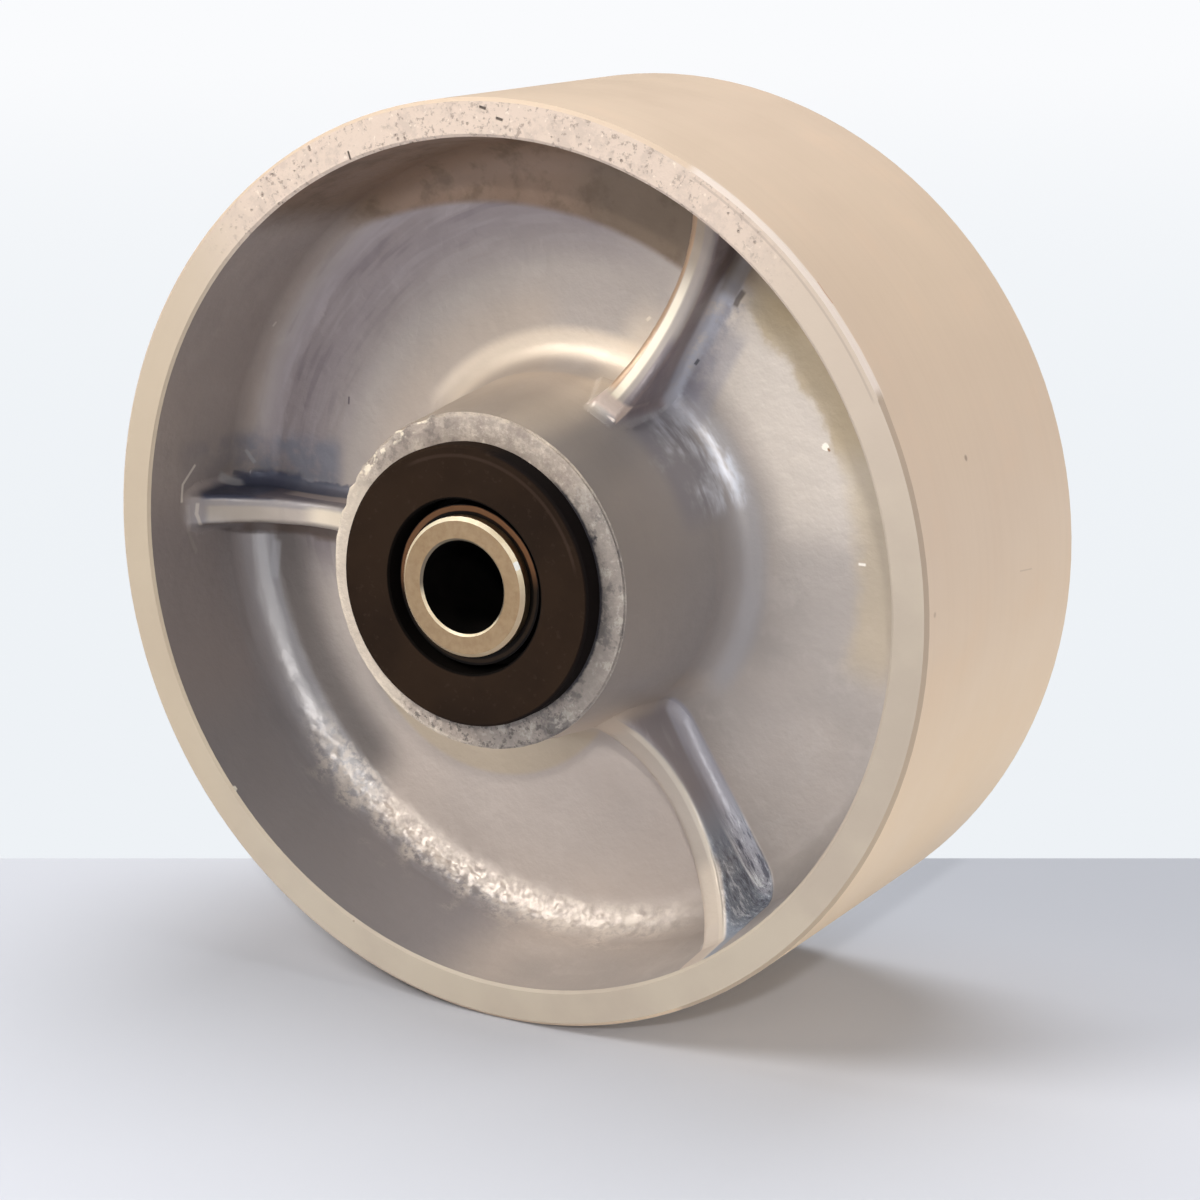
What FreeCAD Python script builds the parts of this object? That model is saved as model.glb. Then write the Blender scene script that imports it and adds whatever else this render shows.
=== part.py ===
import FreeCAD, Part
import math
import os
import Sketcher

# Cast iron wheel of 200 mm on a caged roller bearing, with its steel axle sleeve.
# The axle lies along Y, the front is at -Y, and the origin is the middle of the wheel.

os.makedirs("parts", exist_ok=True)
doc = FreeCAD.newDocument("cast_iron_wheel")
sizes = doc.addObject("Spreadsheet::Sheet", "sizes")

# Driving dimensions: alias, value in mm (degrees where it says so), meaning
DIMENSIONS = [
    ("wheel_diameter", 200, "over the turned tread"),
    ("tread_width", 76, "rim face to rim face"),
    ("tread_edge_chamfer", 0.8, "at both edges of the tread"),
    ("rim_wall", 8, "thickness of the rim at its faces"),
    ("rim_draft", 5, "degrees, slope of the rim's inner wall"),
    ("rim_inner_chamfer", 0.6, "between rim face and inner wall"),
    ("web_thickness", 7, "plate between hub and rim"),
    ("web_rim_fillet", 9, "fillet from web to rim"),
    ("web_hub_fillet", 7, "fillet from web to hub"),
    ("hub_length", 90, "hub face to hub face"),
    ("hub_wall", 11, "iron round the bearing's bore, at the hub's faces"),
    ("hub_draft", 6, "degrees, slope of the hub's side"),
    ("hub_corner_chamfer", 1, "at the hub's outer corners"),
    ("first_rib_angle", 179, "degrees from +X towards +Z"),
    ("second_rib_angle", 301.5, "degrees from +X towards +Z"),
    ("third_rib_angle", 61.5, "degrees from +X towards +Z"),
    ("rib_waist_width", 6, "thickness of a rib at its narrowest"),
    ("rib_flare", 1, "what each flank gains from there to hub and rim"),
    ("rib_waist_radius", 62, "where a rib is lowest, from the axle"),
    ("rib_waist_height", 13.4, "edge of a rib there, from the middle plane"),
    ("rib_hub_height", 29, "the same at the hub"),
    ("rib_rim_height", 27.8, "the same at the rim"),
    ("rib_edge_round", 1.5, "round along both corners of a rib"),
    ("rib_root_fillet", 3, "fillet where a rib meets web, hub and rim"),
    ("bearing_bore_chamfer", 0.8, "at both ends of the hub's bore"),
    ("axle_bore", 20, "for the axle bolt"),
    ("sleeve_wall", 5, "steel round the axle bolt"),
    ("sleeve_stand_out", 0.5, "sleeve end in front of the cap's face"),
    ("sleeve_outer_chamfer", 0.8, "at the sleeve's ends, outside"),
    ("sleeve_bore_chamfer", 0.5, "at the sleeve's ends, inside"),
    ("roller_diameter", 9.9, "ground steel pins"),
    ("roller_chamfer", 0.6, "at the rollers' ends"),
    ("roller_clearance", 0.05, "each side of a roller, on the radius"),
    ("cage_wall", 3, "thickness of the cage tube"),
    ("cage_ring_width", 4, "solid band at each end of the cage"),
    ("cage_bar_width", 2.1, "metal left between two pockets, at the least"),
    ("cage_pocket_clearance", 0.25, "round a roller in its pocket"),
    ("washer_play", 0.4, "cage end to thrust washer"),
    ("washer_thickness", 2.5, "flange of the thrust washer"),
    ("washer_collar_wall", 2.1, "collar that lies round the sleeve"),
    ("washer_collar_set_back", 2.2, "collar end behind the cap's face"),
    ("washer_bore_clearance", 0.05, "washer on the sleeve, on the radius"),
    ("washer_rim_clearance", 0.4, "flange in the hub's bore, on the radius"),
    ("cap_play", 0.4, "thrust washer to cap spigot"),
    ("cap_spigot_length", 4.45, "spigot inside the hub's bore"),
    ("cap_overlap", 5, "flange over the hub's face, on the radius"),
    ("cap_gap", 1.55, "washer collar to the cap's opening, on the radius"),
    ("cap_thickness", 5, "flange, proud of the hub's face"),
    ("cap_edge_chamfer", 0.6, "at the flange's outer edge"),
    ("cap_hole_chamfer", 0.4, "at the opening's outer edge"),
]
for row, (alias, value, meaning) in enumerate(DIMENSIONS, start=1):
    sizes.set("A%d" % row, alias)
    sizes.set("B%d" % row, str(value))
    sizes.setAlias("B%d" % row, alias)
    sizes.set("C%d" % row, meaning)
doc.recompute()

# Lengths that follow from these: the bearing is stacked from the axle bolt outwards, and from
# the hub's face inwards
fits = doc.addObject("Spreadsheet::Sheet", "fits")
FITS = [
    ("sleeve_diameter", "sizes.axle_bore + 2 * sizes.sleeve_wall", "the rollers' inner track"),
    ("bearing_bore", "sleeve_diameter + 2 * sizes.roller_diameter + 4 * sizes.roller_clearance",
     "bore of the hub, the rollers' outer track"),
    ("roller_pitch", "(bearing_bore + sleeve_diameter) / 4", "axle to the middle of a roller"),
    ("pocket_width", "sizes.roller_diameter + 2 * sizes.cage_pocket_clearance", "cage pocket"),
    ("roller_count", "floor(2 * pi * roller_pitch / (pocket_width + sizes.cage_bar_width))",
     "as many as the cage has room for"),
    ("hub_diameter", "bearing_bore + 2 * sizes.hub_wall", "at the hub's faces"),
    ("cap_diameter", "bearing_bore + 2 * sizes.cap_overlap", "flange over the hub's face"),
    ("cap_hole", "sleeve_diameter + 2 * (sizes.washer_bore_clearance + sizes.washer_collar_wall"
     " + sizes.cap_gap)", "opening round the sleeve"),
    ("rim_inside", "sizes.wheel_diameter / 2 - sizes.rim_wall", "radius inside the rim's face"),
    ("rib_end_width", "sizes.rib_waist_width + 2 * sizes.rib_flare", "rib at hub and rim"),
    ("hub_face", "sizes.hub_length / 2", "from the middle plane"),
    ("cap_face", "hub_face + sizes.cap_thickness", "from the middle plane"),
    ("sleeve_end", "cap_face + sizes.sleeve_stand_out", "from the middle plane"),
    ("collar_end", "cap_face - sizes.washer_collar_set_back", "from the middle plane"),
    ("spigot_end", "hub_face - sizes.cap_spigot_length", "from the middle plane"),
    ("washer_outer_face", "spigot_end - sizes.cap_play", "from the middle plane"),
    ("washer_inner_face", "washer_outer_face - sizes.washer_thickness", "from the middle plane"),
    ("cage_end", "washer_inner_face - sizes.washer_play", "from the middle plane"),
    ("pocket_end", "cage_end - sizes.cage_ring_width", "from the middle plane"),
    ("roller_end", "pocket_end - sizes.cage_pocket_clearance", "from the middle plane"),
]
for row, (alias, formula, meaning) in enumerate(FITS, start=1):
    fits.set("A%d" % row, alias)
    fits.set("B%d" % row, "=" + formula)
    fits.setAlias("B%d" % row, alias)
    fits.set("C%d" % row, meaning)
doc.recompute()


def new_body(name):
    """An empty body whose label is the name of its piece."""
    body = doc.addObject("PartDesign::Body", name)
    body.Label = name
    return body


def new_sketch(body, name, role):
    """A sketch on one of the body's own origin planes."""
    sketch = body.newObject("Sketcher::SketchObject", name)
    plane = [feature for feature in body.Origin.OriginFeatures if feature.Role == role][0]
    sketch.AttachmentSupport = [(plane, "")]
    sketch.MapMode = "FlatFace"
    return sketch


def origin_feature(body, role):
    return [feature for feature in body.Origin.OriginFeatures if feature.Role == role][0]


def dimension(sketch, expression, *constraint):
    """Adds a dimension that follows the sheet. The last item is a start value."""
    index = sketch.addConstraint(Sketcher.Constraint(*constraint))
    sketch.setExpression("Constraints[%d]" % index, expression)


# Where an outline's corners lie until its dimensions move them: on a circle beside the axle
ROUGH_PLACE = 50
ROUGH_RADIUS = 10


def corner_outline(sketch, corners):
    """Closed outline of straight lines through corners given as two expressions each."""
    count = len(corners)
    turn = 2 * math.pi / count
    start = [FreeCAD.Vector(ROUGH_PLACE + ROUGH_RADIUS * math.cos(k * turn),
                            ROUGH_PLACE + ROUGH_RADIUS * math.sin(k * turn), 0)
             for k in range(count)]
    for k in range(count):
        sketch.addGeometry(Part.LineSegment(start[k], start[(k + 1) % count]), False)
    for k in range(count):
        sketch.addConstraint(Sketcher.Constraint("Coincident", k, 2, (k + 1) % count, 1))
    for k, (across, along) in enumerate(corners):
        dimension(sketch, across, "DistanceX", -1, 1, k, 1, start[k].x)
        dimension(sketch, along, "DistanceY", -1, 1, k, 1, start[k].y)


def turned(body, name, sketch, kind="PartDesign::Revolution"):
    """Turns a sketch a full circle round the axle."""
    feature = body.newObject(kind, name)
    feature.Profile = sketch
    feature.ReferenceAxis = (sketch, ["V_Axis"])
    feature.Angle = 360
    feature.Refine = True
    body.Tip = feature
    doc.recompute()
    return feature


def mirrored(body, name, feature):
    """Repeats a feature on the other side of the wheel's middle plane."""
    mirror = body.newObject("PartDesign::Mirrored", name)
    mirror.Originals = [feature]
    mirror.MirrorPlane = (origin_feature(body, "XZ_Plane"), [""])
    mirror.Refine = True
    body.Tip = mirror
    doc.recompute()
    return mirror


def repeated_round_axle(body, name, feature, count):
    """Repeats a feature evenly round the axle."""
    pattern = body.newObject("PartDesign::PolarPattern", name)
    pattern.Originals = [feature]
    pattern.Axis = (origin_feature(body, "Y_Axis"), [""])
    pattern.Angle = 360
    pattern.Refine = True
    pattern.setExpression("Occurrences", count)
    body.Tip = pattern
    doc.recompute()
    return pattern


def dressed(body, name, kind, edges, size_name, expression):
    """Fillet or chamfer on the named edges of the body's present shape."""
    base = body.Tip
    feature = body.newObject(kind, name)
    feature.Base = (base, edges)
    feature.setExpression(size_name, expression)
    body.Tip = feature
    doc.recompute()
    return feature


# Distances in mm by which edges are told apart
RING_TOLERANCE = 0.001
EDGE_TOLERANCE = 1


def ring_edges(shape, radius, place):
    """Names of the full circles round the axle with this radius at this place along it."""
    names = []
    for index, edge in enumerate(shape.Edges, start=1):
        curve = edge.Curve
        if not isinstance(curve, Part.Circle):
            continue
        off_axle = math.hypot(curve.Center.x, curve.Center.z)
        wrong_size = abs(curve.Radius - radius)
        wrong_place = abs(abs(curve.Center.y) - place)
        if max(off_axle, wrong_size, wrong_place) < RING_TOLERANCE:
            names.append("Edge%d" % index)
    return names


# Wheel casting: rim, web, ribs and hub are one piece of grey iron. The ribs come first, as a
# three-armed spider whose edges are hollowed, and rim, web and hub are turned round it.
casting = new_body("wheel_casting")

HUB_SIDE = "fits.hub_diameter / 2"
RIM_SIDE = "fits.rim_inside"
ARM_END = "(sizes.wheel_diameter - sizes.rim_wall) / 2"


def draw_arm(sketch):
    """Plan of one rib, from the axle into the rim, waisted half way out."""
    inner = fits.get("hub_diameter") / 2
    outer = fits.get("rim_inside")
    end = outer + sizes.get("rim_wall") / 2
    half_end = fits.get("rib_end_width") / 2
    hollow = (fits.get("rib_end_width") - sizes.get("rib_waist_width")) / 2
    radius = ((outer - inner) ** 2 / 4 + hollow ** 2) / (2 * hollow)
    middle = (inner + outer) / 2
    half_angle = math.asin((outer - inner) / 2 / radius)

    def point(across, along):
        return FreeCAD.Vector(across, along, 0)

    def flank(side):
        """Hollow flank as an arc, with its middle on one side of the arm."""
        centre = point(middle, side * (half_end - hollow + radius))
        circle = Part.Circle(centre, FreeCAD.Vector(0, 0, 1), radius)
        down = -side * math.pi / 2
        return Part.ArcOfCircle(circle, down - half_angle, down + half_angle)

    sketch.addGeometry(Part.LineSegment(point(0, -half_end), point(inner, -half_end)), False)
    sketch.addGeometry(flank(-1), False)
    sketch.addGeometry(Part.LineSegment(point(outer, -half_end), point(end, -half_end)), False)
    sketch.addGeometry(Part.LineSegment(point(end, -half_end), point(end, half_end)), False)
    sketch.addGeometry(Part.LineSegment(point(end, half_end), point(outer, half_end)), False)
    sketch.addGeometry(flank(1), False)
    sketch.addGeometry(Part.LineSegment(point(inner, half_end), point(0, half_end)), False)
    sketch.addGeometry(Part.LineSegment(point(0, half_end), point(0, -half_end)), False)
    # the lower flank runs from the rim's side to the hub's, the upper one from hub to rim
    joins = [(0, 2, 1, 2), (1, 1, 2, 1), (2, 2, 3, 1), (3, 2, 4, 1), (4, 2, 5, 2), (5, 1, 6, 1),
             (6, 2, 7, 1), (7, 2, 0, 1)]
    for join in joins:
        sketch.addConstraint(Sketcher.Constraint("Coincident", *join))
    for level in (0, 2, 4, 6):
        sketch.addConstraint(Sketcher.Constraint("Horizontal", level))
    sketch.addConstraint(Sketcher.Constraint("PointOnObject", 0, 1, -2))
    sketch.addConstraint(Sketcher.Constraint("PointOnObject", 6, 2, -2))
    sketch.addConstraint(Sketcher.Constraint("Symmetric", 3, 1, 3, 2, -1))
    sketch.addConstraint(Sketcher.Constraint("Horizontal", 0, 2, 2, 1))
    sketch.addConstraint(Sketcher.Constraint("Horizontal", 6, 1, 4, 2))
    sketch.addConstraint(Sketcher.Constraint("Vertical", 0, 2, 6, 1))
    sketch.addConstraint(Sketcher.Constraint("Vertical", 2, 1, 4, 2))
    sketch.addConstraint(Sketcher.Constraint("Equal", 1, 5))
    dimension(sketch, HUB_SIDE, "DistanceX", -1, 1, 0, 2, inner)
    dimension(sketch, RIM_SIDE, "DistanceX", -1, 1, 2, 1, outer)
    dimension(sketch, ARM_END, "DistanceX", -1, 1, 2, 2, end)
    dimension(sketch, "fits.rib_end_width", "DistanceY", 3, 1, 3, 2, 2 * half_end)
    hollow_text = "((fits.rib_end_width - sizes.rib_waist_width) / 2)"
    reach_text = "((%s - %s) / 2)" % (RIM_SIDE, HUB_SIDE)
    radius_text = "(%s * %s + %s * %s) / (2 * %s)" % (
        reach_text, reach_text, hollow_text, hollow_text, hollow_text)
    dimension(sketch, radius_text, "Radius", 1, radius)


RIB_ANGLES = ["first_rib_angle", "second_rib_angle", "third_rib_angle"]
for angle_name in RIB_ANGLES:
    arm_plan = new_sketch(casting, "plan_at_" + angle_name, "XZ_Plane")
    arm_plan.setExpression("AttachmentOffset.Rotation.Angle", "sizes." + angle_name)
    draw_arm(arm_plan)
    doc.recompute()
    arm = casting.newObject("PartDesign::Pad", "arm_at_" + angle_name)
    arm.Profile = arm_plan
    arm.Midplane = True
    arm.setExpression("Length", "sizes.hub_length - 2 * sizes.hub_corner_chamfer")
    casting.Tip = arm
    doc.recompute()


def draw_saddle(sketch):
    """Section of what is cut off one side of the ribs, so that their edge sweeps up to hub and rim."""
    waist = sizes.get("rib_waist_radius")
    low = sizes.get("rib_waist_height")
    near_level = sizes.get("rib_hub_height")
    far_level = sizes.get("rib_rim_height")
    near = fits.get("hub_diameter") / 2
    far = fits.get("rim_inside")
    core = (fits.get("hub_diameter") + fits.get("bearing_bore")) / 4
    end = sizes.get("wheel_diameter") / 2
    top = fits.get("hub_face")
    near_radius = ((waist - near) ** 2 + (near_level - low) ** 2) / (2 * (near_level - low))
    far_radius = ((far - waist) ** 2 + (far_level - low) ** 2) / (2 * (far_level - low))
    straight_down = -math.pi / 2
    near_angle = math.atan2(near_level - low - near_radius, near - waist)
    far_angle = math.atan2(far_level - low - far_radius, far - waist)

    def point(across, along):
        return FreeCAD.Vector(across, along, 0)

    def arc(radius, first, last):
        circle = Part.Circle(point(waist, low + radius), FreeCAD.Vector(0, 0, 1), radius)
        return Part.ArcOfCircle(circle, first, last)

    sketch.addGeometry(Part.LineSegment(point(core, near_level), point(near, near_level)), False)
    sketch.addGeometry(arc(near_radius, near_angle, straight_down), False)
    sketch.addGeometry(arc(far_radius, straight_down, far_angle), False)
    sketch.addGeometry(Part.LineSegment(point(far, far_level), point(end, far_level)), False)
    sketch.addGeometry(Part.LineSegment(point(end, far_level), point(end, top)), False)
    sketch.addGeometry(Part.LineSegment(point(end, top), point(core, top)), False)
    sketch.addGeometry(Part.LineSegment(point(core, top), point(core, near_level)), False)
    for join in [(0, 2, 1, 1), (2, 2, 3, 1), (3, 2, 4, 1), (4, 2, 5, 1), (5, 2, 6, 1), (6, 2, 0, 1)]:
        sketch.addConstraint(Sketcher.Constraint("Coincident", *join))
    sketch.addConstraint(Sketcher.Constraint("Tangent", 1, 2, 2, 1))
    sketch.addConstraint(Sketcher.Constraint("Vertical", 1, 2, 1, 3))
    for level in (0, 3, 5):
        sketch.addConstraint(Sketcher.Constraint("Horizontal", level))
    for upright in (4, 6):
        sketch.addConstraint(Sketcher.Constraint("Vertical", upright))
    dimension(sketch, "sizes.rib_waist_radius", "DistanceX", -1, 1, 1, 2, waist)
    dimension(sketch, "sizes.rib_waist_height", "DistanceY", -1, 1, 1, 2, low)
    dimension(sketch, HUB_SIDE, "DistanceX", -1, 1, 0, 2, near)
    dimension(sketch, "sizes.rib_hub_height", "DistanceY", -1, 1, 0, 2, near_level)
    dimension(sketch, RIM_SIDE, "DistanceX", -1, 1, 3, 1, far)
    dimension(sketch, "sizes.rib_rim_height", "DistanceY", -1, 1, 3, 1, far_level)
    dimension(sketch, "(fits.hub_diameter + fits.bearing_bore) / 4", "DistanceX", -1, 1, 6, 1, core)
    dimension(sketch, "sizes.wheel_diameter / 2", "DistanceX", -1, 1, 4, 1, end)
    dimension(sketch, "fits.hub_face", "DistanceY", -1, 1, 5, 1, top)


saddle_section = new_sketch(casting, "saddle_section", "XY_Plane")
draw_saddle(saddle_section)
doc.recompute()
saddle = turned(casting, "saddle", saddle_section, "PartDesign::Groove")
mirrored(casting, "both_saddles", saddle)


def saddle_edges(shape):
    """The long corners of the ribs, between their swept edge and the two flanks."""
    names = []
    inner = fits.get("hub_diameter") / 2
    outer = fits.get("rim_inside")
    for index, edge in enumerate(shape.Edges, start=1):
        middle = edge.valueAt((edge.FirstParameter + edge.LastParameter) / 2)
        out = math.hypot(middle.x, middle.z)
        between = inner + EDGE_TOLERANCE < out < outer - EDGE_TOLERANCE
        sweeps_up = edge.BoundBox.YLength > EDGE_TOLERANCE
        leans_out = math.hypot(edge.BoundBox.XLength, edge.BoundBox.ZLength) > EDGE_TOLERANCE
        if between and sweeps_up and leans_out:
            names.append("Edge%d" % index)
    return names


dressed(casting, "rib_corners", "PartDesign::Fillet", saddle_edges(casting.Tip.Shape),
        "Radius", "sizes.rib_edge_round")


def draw_casting_section(sketch):
    """Half section of hub, web and rim, from the middle plane to the rear faces."""
    rim = sizes.get("wheel_diameter") / 2
    wall = rim - sizes.get("rim_wall")
    face = sizes.get("tread_width") / 2
    web = sizes.get("web_thickness") / 2
    hub = fits.get("hub_diameter") / 2
    top = fits.get("hub_face")
    core = fits.get("roller_pitch")
    outer_fillet = sizes.get("web_rim_fillet")
    inner_fillet = sizes.get("web_hub_fillet")
    rim_slope = math.radians(sizes.get("rim_draft"))
    hub_slope = math.radians(sizes.get("hub_draft"))

    def point(across, along):
        return FreeCAD.Vector(across, along, 0)

    def arc(across, along, radius, low, high):
        circle = Part.Circle(point(across, along), FreeCAD.Vector(0, 0, 1), radius)
        return Part.ArcOfCircle(circle, low, high)

    wall_foot = wall - (face - web - outer_fillet) * math.tan(rim_slope)
    hub_foot = hub + (top - web - inner_fillet) * math.tan(hub_slope)
    outer_middle = wall_foot - outer_fillet
    inner_middle = hub_foot + inner_fillet
    sketch.addGeometry(Part.LineSegment(point(core, 0), point(rim, 0)), False)
    sketch.addGeometry(Part.LineSegment(point(rim, 0), point(rim, face)), False)
    sketch.addGeometry(Part.LineSegment(point(rim, face), point(wall, face)), False)
    sketch.addGeometry(Part.LineSegment(point(wall_foot, web + outer_fillet), point(wall, face)), False)
    sketch.addGeometry(arc(outer_middle, web + outer_fillet, outer_fillet, -math.pi / 2, -rim_slope), False)
    sketch.addGeometry(Part.LineSegment(point(inner_middle, web), point(outer_middle, web)), False)
    sketch.addGeometry(arc(inner_middle, web + inner_fillet, inner_fillet,
                           math.pi + hub_slope, 3 * math.pi / 2), False)
    sketch.addGeometry(Part.LineSegment(point(hub_foot, web + inner_fillet), point(hub, top)), False)
    sketch.addGeometry(Part.LineSegment(point(hub, top), point(core, top)), False)
    sketch.addGeometry(Part.LineSegment(point(core, top), point(core, 0)), False)
    for join in [(0, 2, 1, 1), (1, 2, 2, 1), (2, 2, 3, 2), (7, 2, 8, 1), (8, 2, 9, 1), (9, 2, 0, 1)]:
        sketch.addConstraint(Sketcher.Constraint("Coincident", *join))
    for touch in [(3, 1, 4, 2), (4, 1, 5, 2), (5, 1, 6, 2), (6, 1, 7, 1)]:
        sketch.addConstraint(Sketcher.Constraint("Tangent", *touch))
    for level in (2, 5, 8):
        sketch.addConstraint(Sketcher.Constraint("Horizontal", level))
    for upright in (1, 9):
        sketch.addConstraint(Sketcher.Constraint("Vertical", upright))
    sketch.addConstraint(Sketcher.Constraint("PointOnObject", 0, 1, -1))
    sketch.addConstraint(Sketcher.Constraint("PointOnObject", 0, 2, -1))
    dimension(sketch, "fits.roller_pitch", "DistanceX", -1, 1, 0, 1, core)
    dimension(sketch, "sizes.wheel_diameter / 2", "DistanceX", -1, 1, 0, 2, rim)
    dimension(sketch, "sizes.tread_width / 2", "DistanceY", -1, 1, 1, 2, face)
    dimension(sketch, RIM_SIDE, "DistanceX", -1, 1, 2, 2, wall)
    dimension(sketch, "sizes.web_thickness / 2", "DistanceY", -1, 1, 5, 1, web)
    dimension(sketch, HUB_SIDE, "DistanceX", -1, 1, 7, 2, hub)
    dimension(sketch, "fits.hub_face", "DistanceY", -1, 1, 7, 2, top)
    dimension(sketch, "(90 - sizes.rim_draft) * 1 deg", "Angle", 3, math.pi / 2 - rim_slope)
    dimension(sketch, "(90 + sizes.hub_draft) * 1 deg", "Angle", 7, math.pi / 2 + hub_slope)
    dimension(sketch, "sizes.web_rim_fillet", "Radius", 4, outer_fillet)
    dimension(sketch, "sizes.web_hub_fillet", "Radius", 6, inner_fillet)


casting_section = new_sketch(casting, "casting_section", "XY_Plane")
draw_casting_section(casting_section)
doc.recompute()
half_wheel = turned(casting, "half_wheel", casting_section)
mirrored(casting, "whole_wheel", half_wheel)

bore_plan = new_sketch(casting, "bore_plan", "XZ_Plane")
bore_radius = fits.get("bearing_bore") / 2
bore_plan.addGeometry(Part.Circle(FreeCAD.Vector(0, 0, 0), FreeCAD.Vector(0, 0, 1), bore_radius), False)
bore_plan.addConstraint(Sketcher.Constraint("Coincident", 0, 3, -1, 1))
dimension(bore_plan, "fits.bearing_bore / 2", "Radius", 0, bore_radius)
bore = casting.newObject("PartDesign::Pocket", "bore")
bore.Profile = bore_plan
bore.Midplane = True
bore.setExpression("Length", "sizes.hub_length * 2")
casting.Tip = bore
doc.recompute()


def in_one_rib(face):
    """True where all corners of a face lie within the width of one rib."""
    reach = fits.get("rib_end_width") / 2 + EDGE_TOLERANCE
    for angle_name in RIB_ANGLES:
        angle = math.radians(sizes.get(angle_name))
        along = FreeCAD.Vector(math.cos(angle), 0, math.sin(angle))
        across = FreeCAD.Vector(-math.sin(angle), 0, math.cos(angle))
        points = [vertex.Point for vertex in face.Vertexes]
        if points and all(abs(p.dot(across)) < reach and p.dot(along) > 0 for p in points):
            return True
    return False


def rib_root_edges(shape):
    """Edges along which a rib meets the web, the hub or the rim."""
    rib_faces = [face for face in shape.Faces if in_one_rib(face)]
    other_faces = [face for face in shape.Faces if not in_one_rib(face)]
    rib_edges = set()
    for face in rib_faces:
        rib_edges.update(edge.hashCode() for edge in face.Edges)
    other_edges = set()
    for face in other_faces:
        other_edges.update(edge.hashCode() for edge in face.Edges)
    shared = rib_edges & other_edges
    return ["Edge%d" % index for index, edge in enumerate(shape.Edges, start=1)
            if edge.hashCode() in shared]


dressed(casting, "rib_roots", "PartDesign::Fillet", rib_root_edges(casting.Tip.Shape),
        "Radius", "sizes.rib_root_fillet")

rim_radius = sizes.get("wheel_diameter") / 2
rim_face = sizes.get("tread_width") / 2
hub_face = fits.get("hub_face")
dressed(casting, "tread_edges", "PartDesign::Chamfer",
        ring_edges(casting.Tip.Shape, rim_radius, rim_face), "Size", "sizes.tread_edge_chamfer")
dressed(casting, "rim_inner_edges", "PartDesign::Chamfer",
        ring_edges(casting.Tip.Shape, fits.get("rim_inside"), rim_face),
        "Size", "sizes.rim_inner_chamfer")
dressed(casting, "hub_corners", "PartDesign::Chamfer",
        ring_edges(casting.Tip.Shape, fits.get("hub_diameter") / 2, hub_face),
        "Size", "sizes.hub_corner_chamfer")
dressed(casting, "bore_mouths", "PartDesign::Chamfer",
        ring_edges(casting.Tip.Shape, fits.get("bearing_bore") / 2, hub_face),
        "Size", "sizes.bearing_bore_chamfer")

# Axle sleeve: a hardened steel tube that the axle bolt clamps between the fork's legs.
sleeve = new_body("axle_sleeve")
sleeve_section = new_sketch(sleeve, "sleeve_section", "XY_Plane")
SLEEVE_BORE = "sizes.axle_bore / 2"
SLEEVE_SIDE = "fits.sleeve_diameter / 2"
SLEEVE_END = "fits.sleeve_end"
corner_outline(sleeve_section, [
    (SLEEVE_BORE, "-(%s - sizes.sleeve_bore_chamfer)" % SLEEVE_END),
    (SLEEVE_BORE + " + sizes.sleeve_bore_chamfer", "-" + SLEEVE_END),
    (SLEEVE_SIDE + " - sizes.sleeve_outer_chamfer", "-" + SLEEVE_END),
    (SLEEVE_SIDE, "-(%s - sizes.sleeve_outer_chamfer)" % SLEEVE_END),
    (SLEEVE_SIDE, "%s - sizes.sleeve_outer_chamfer" % SLEEVE_END),
    (SLEEVE_SIDE + " - sizes.sleeve_outer_chamfer", SLEEVE_END),
    (SLEEVE_BORE + " + sizes.sleeve_bore_chamfer", SLEEVE_END),
    (SLEEVE_BORE, "%s - sizes.sleeve_bore_chamfer" % SLEEVE_END),
])
turned(sleeve, "sleeve_turning", sleeve_section)

# Bearing cage: a tube with one long pocket for each roller, open to both tracks.
cage = new_body("bearing_cage")
cage_section = new_sketch(cage, "cage_section", "XY_Plane")
CAGE_INSIDE = "fits.roller_pitch - sizes.cage_wall / 2"
CAGE_OUTSIDE = "fits.roller_pitch + sizes.cage_wall / 2"
corner_outline(cage_section, [
    (CAGE_INSIDE, "-fits.cage_end"),
    (CAGE_OUTSIDE, "-fits.cage_end"),
    (CAGE_OUTSIDE, "fits.cage_end"),
    (CAGE_INSIDE, "fits.cage_end"),
])
turned(cage, "cage_tube", cage_section)
POCKET_SIDE = "fits.pocket_width / 2"
POCKET_END = "fits.pocket_end"
pocket_plan = new_sketch(cage, "pocket_plan", "YZ_Plane")
corner_outline(pocket_plan, [
    ("-" + POCKET_END, "-" + POCKET_SIDE),
    (POCKET_END, "-" + POCKET_SIDE),
    (POCKET_END, POCKET_SIDE),
    ("-" + POCKET_END, POCKET_SIDE),
])
roller_pocket = cage.newObject("PartDesign::Pocket", "roller_pocket")
roller_pocket.Profile = pocket_plan
roller_pocket.Reversed = True
roller_pocket.setExpression("Length", "fits.bearing_bore / 2")
roller_pocket.Refine = True
cage.Tip = roller_pocket
doc.recompute()
repeated_round_axle(cage, "roller_pockets", roller_pocket, "fits.roller_count")

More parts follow.
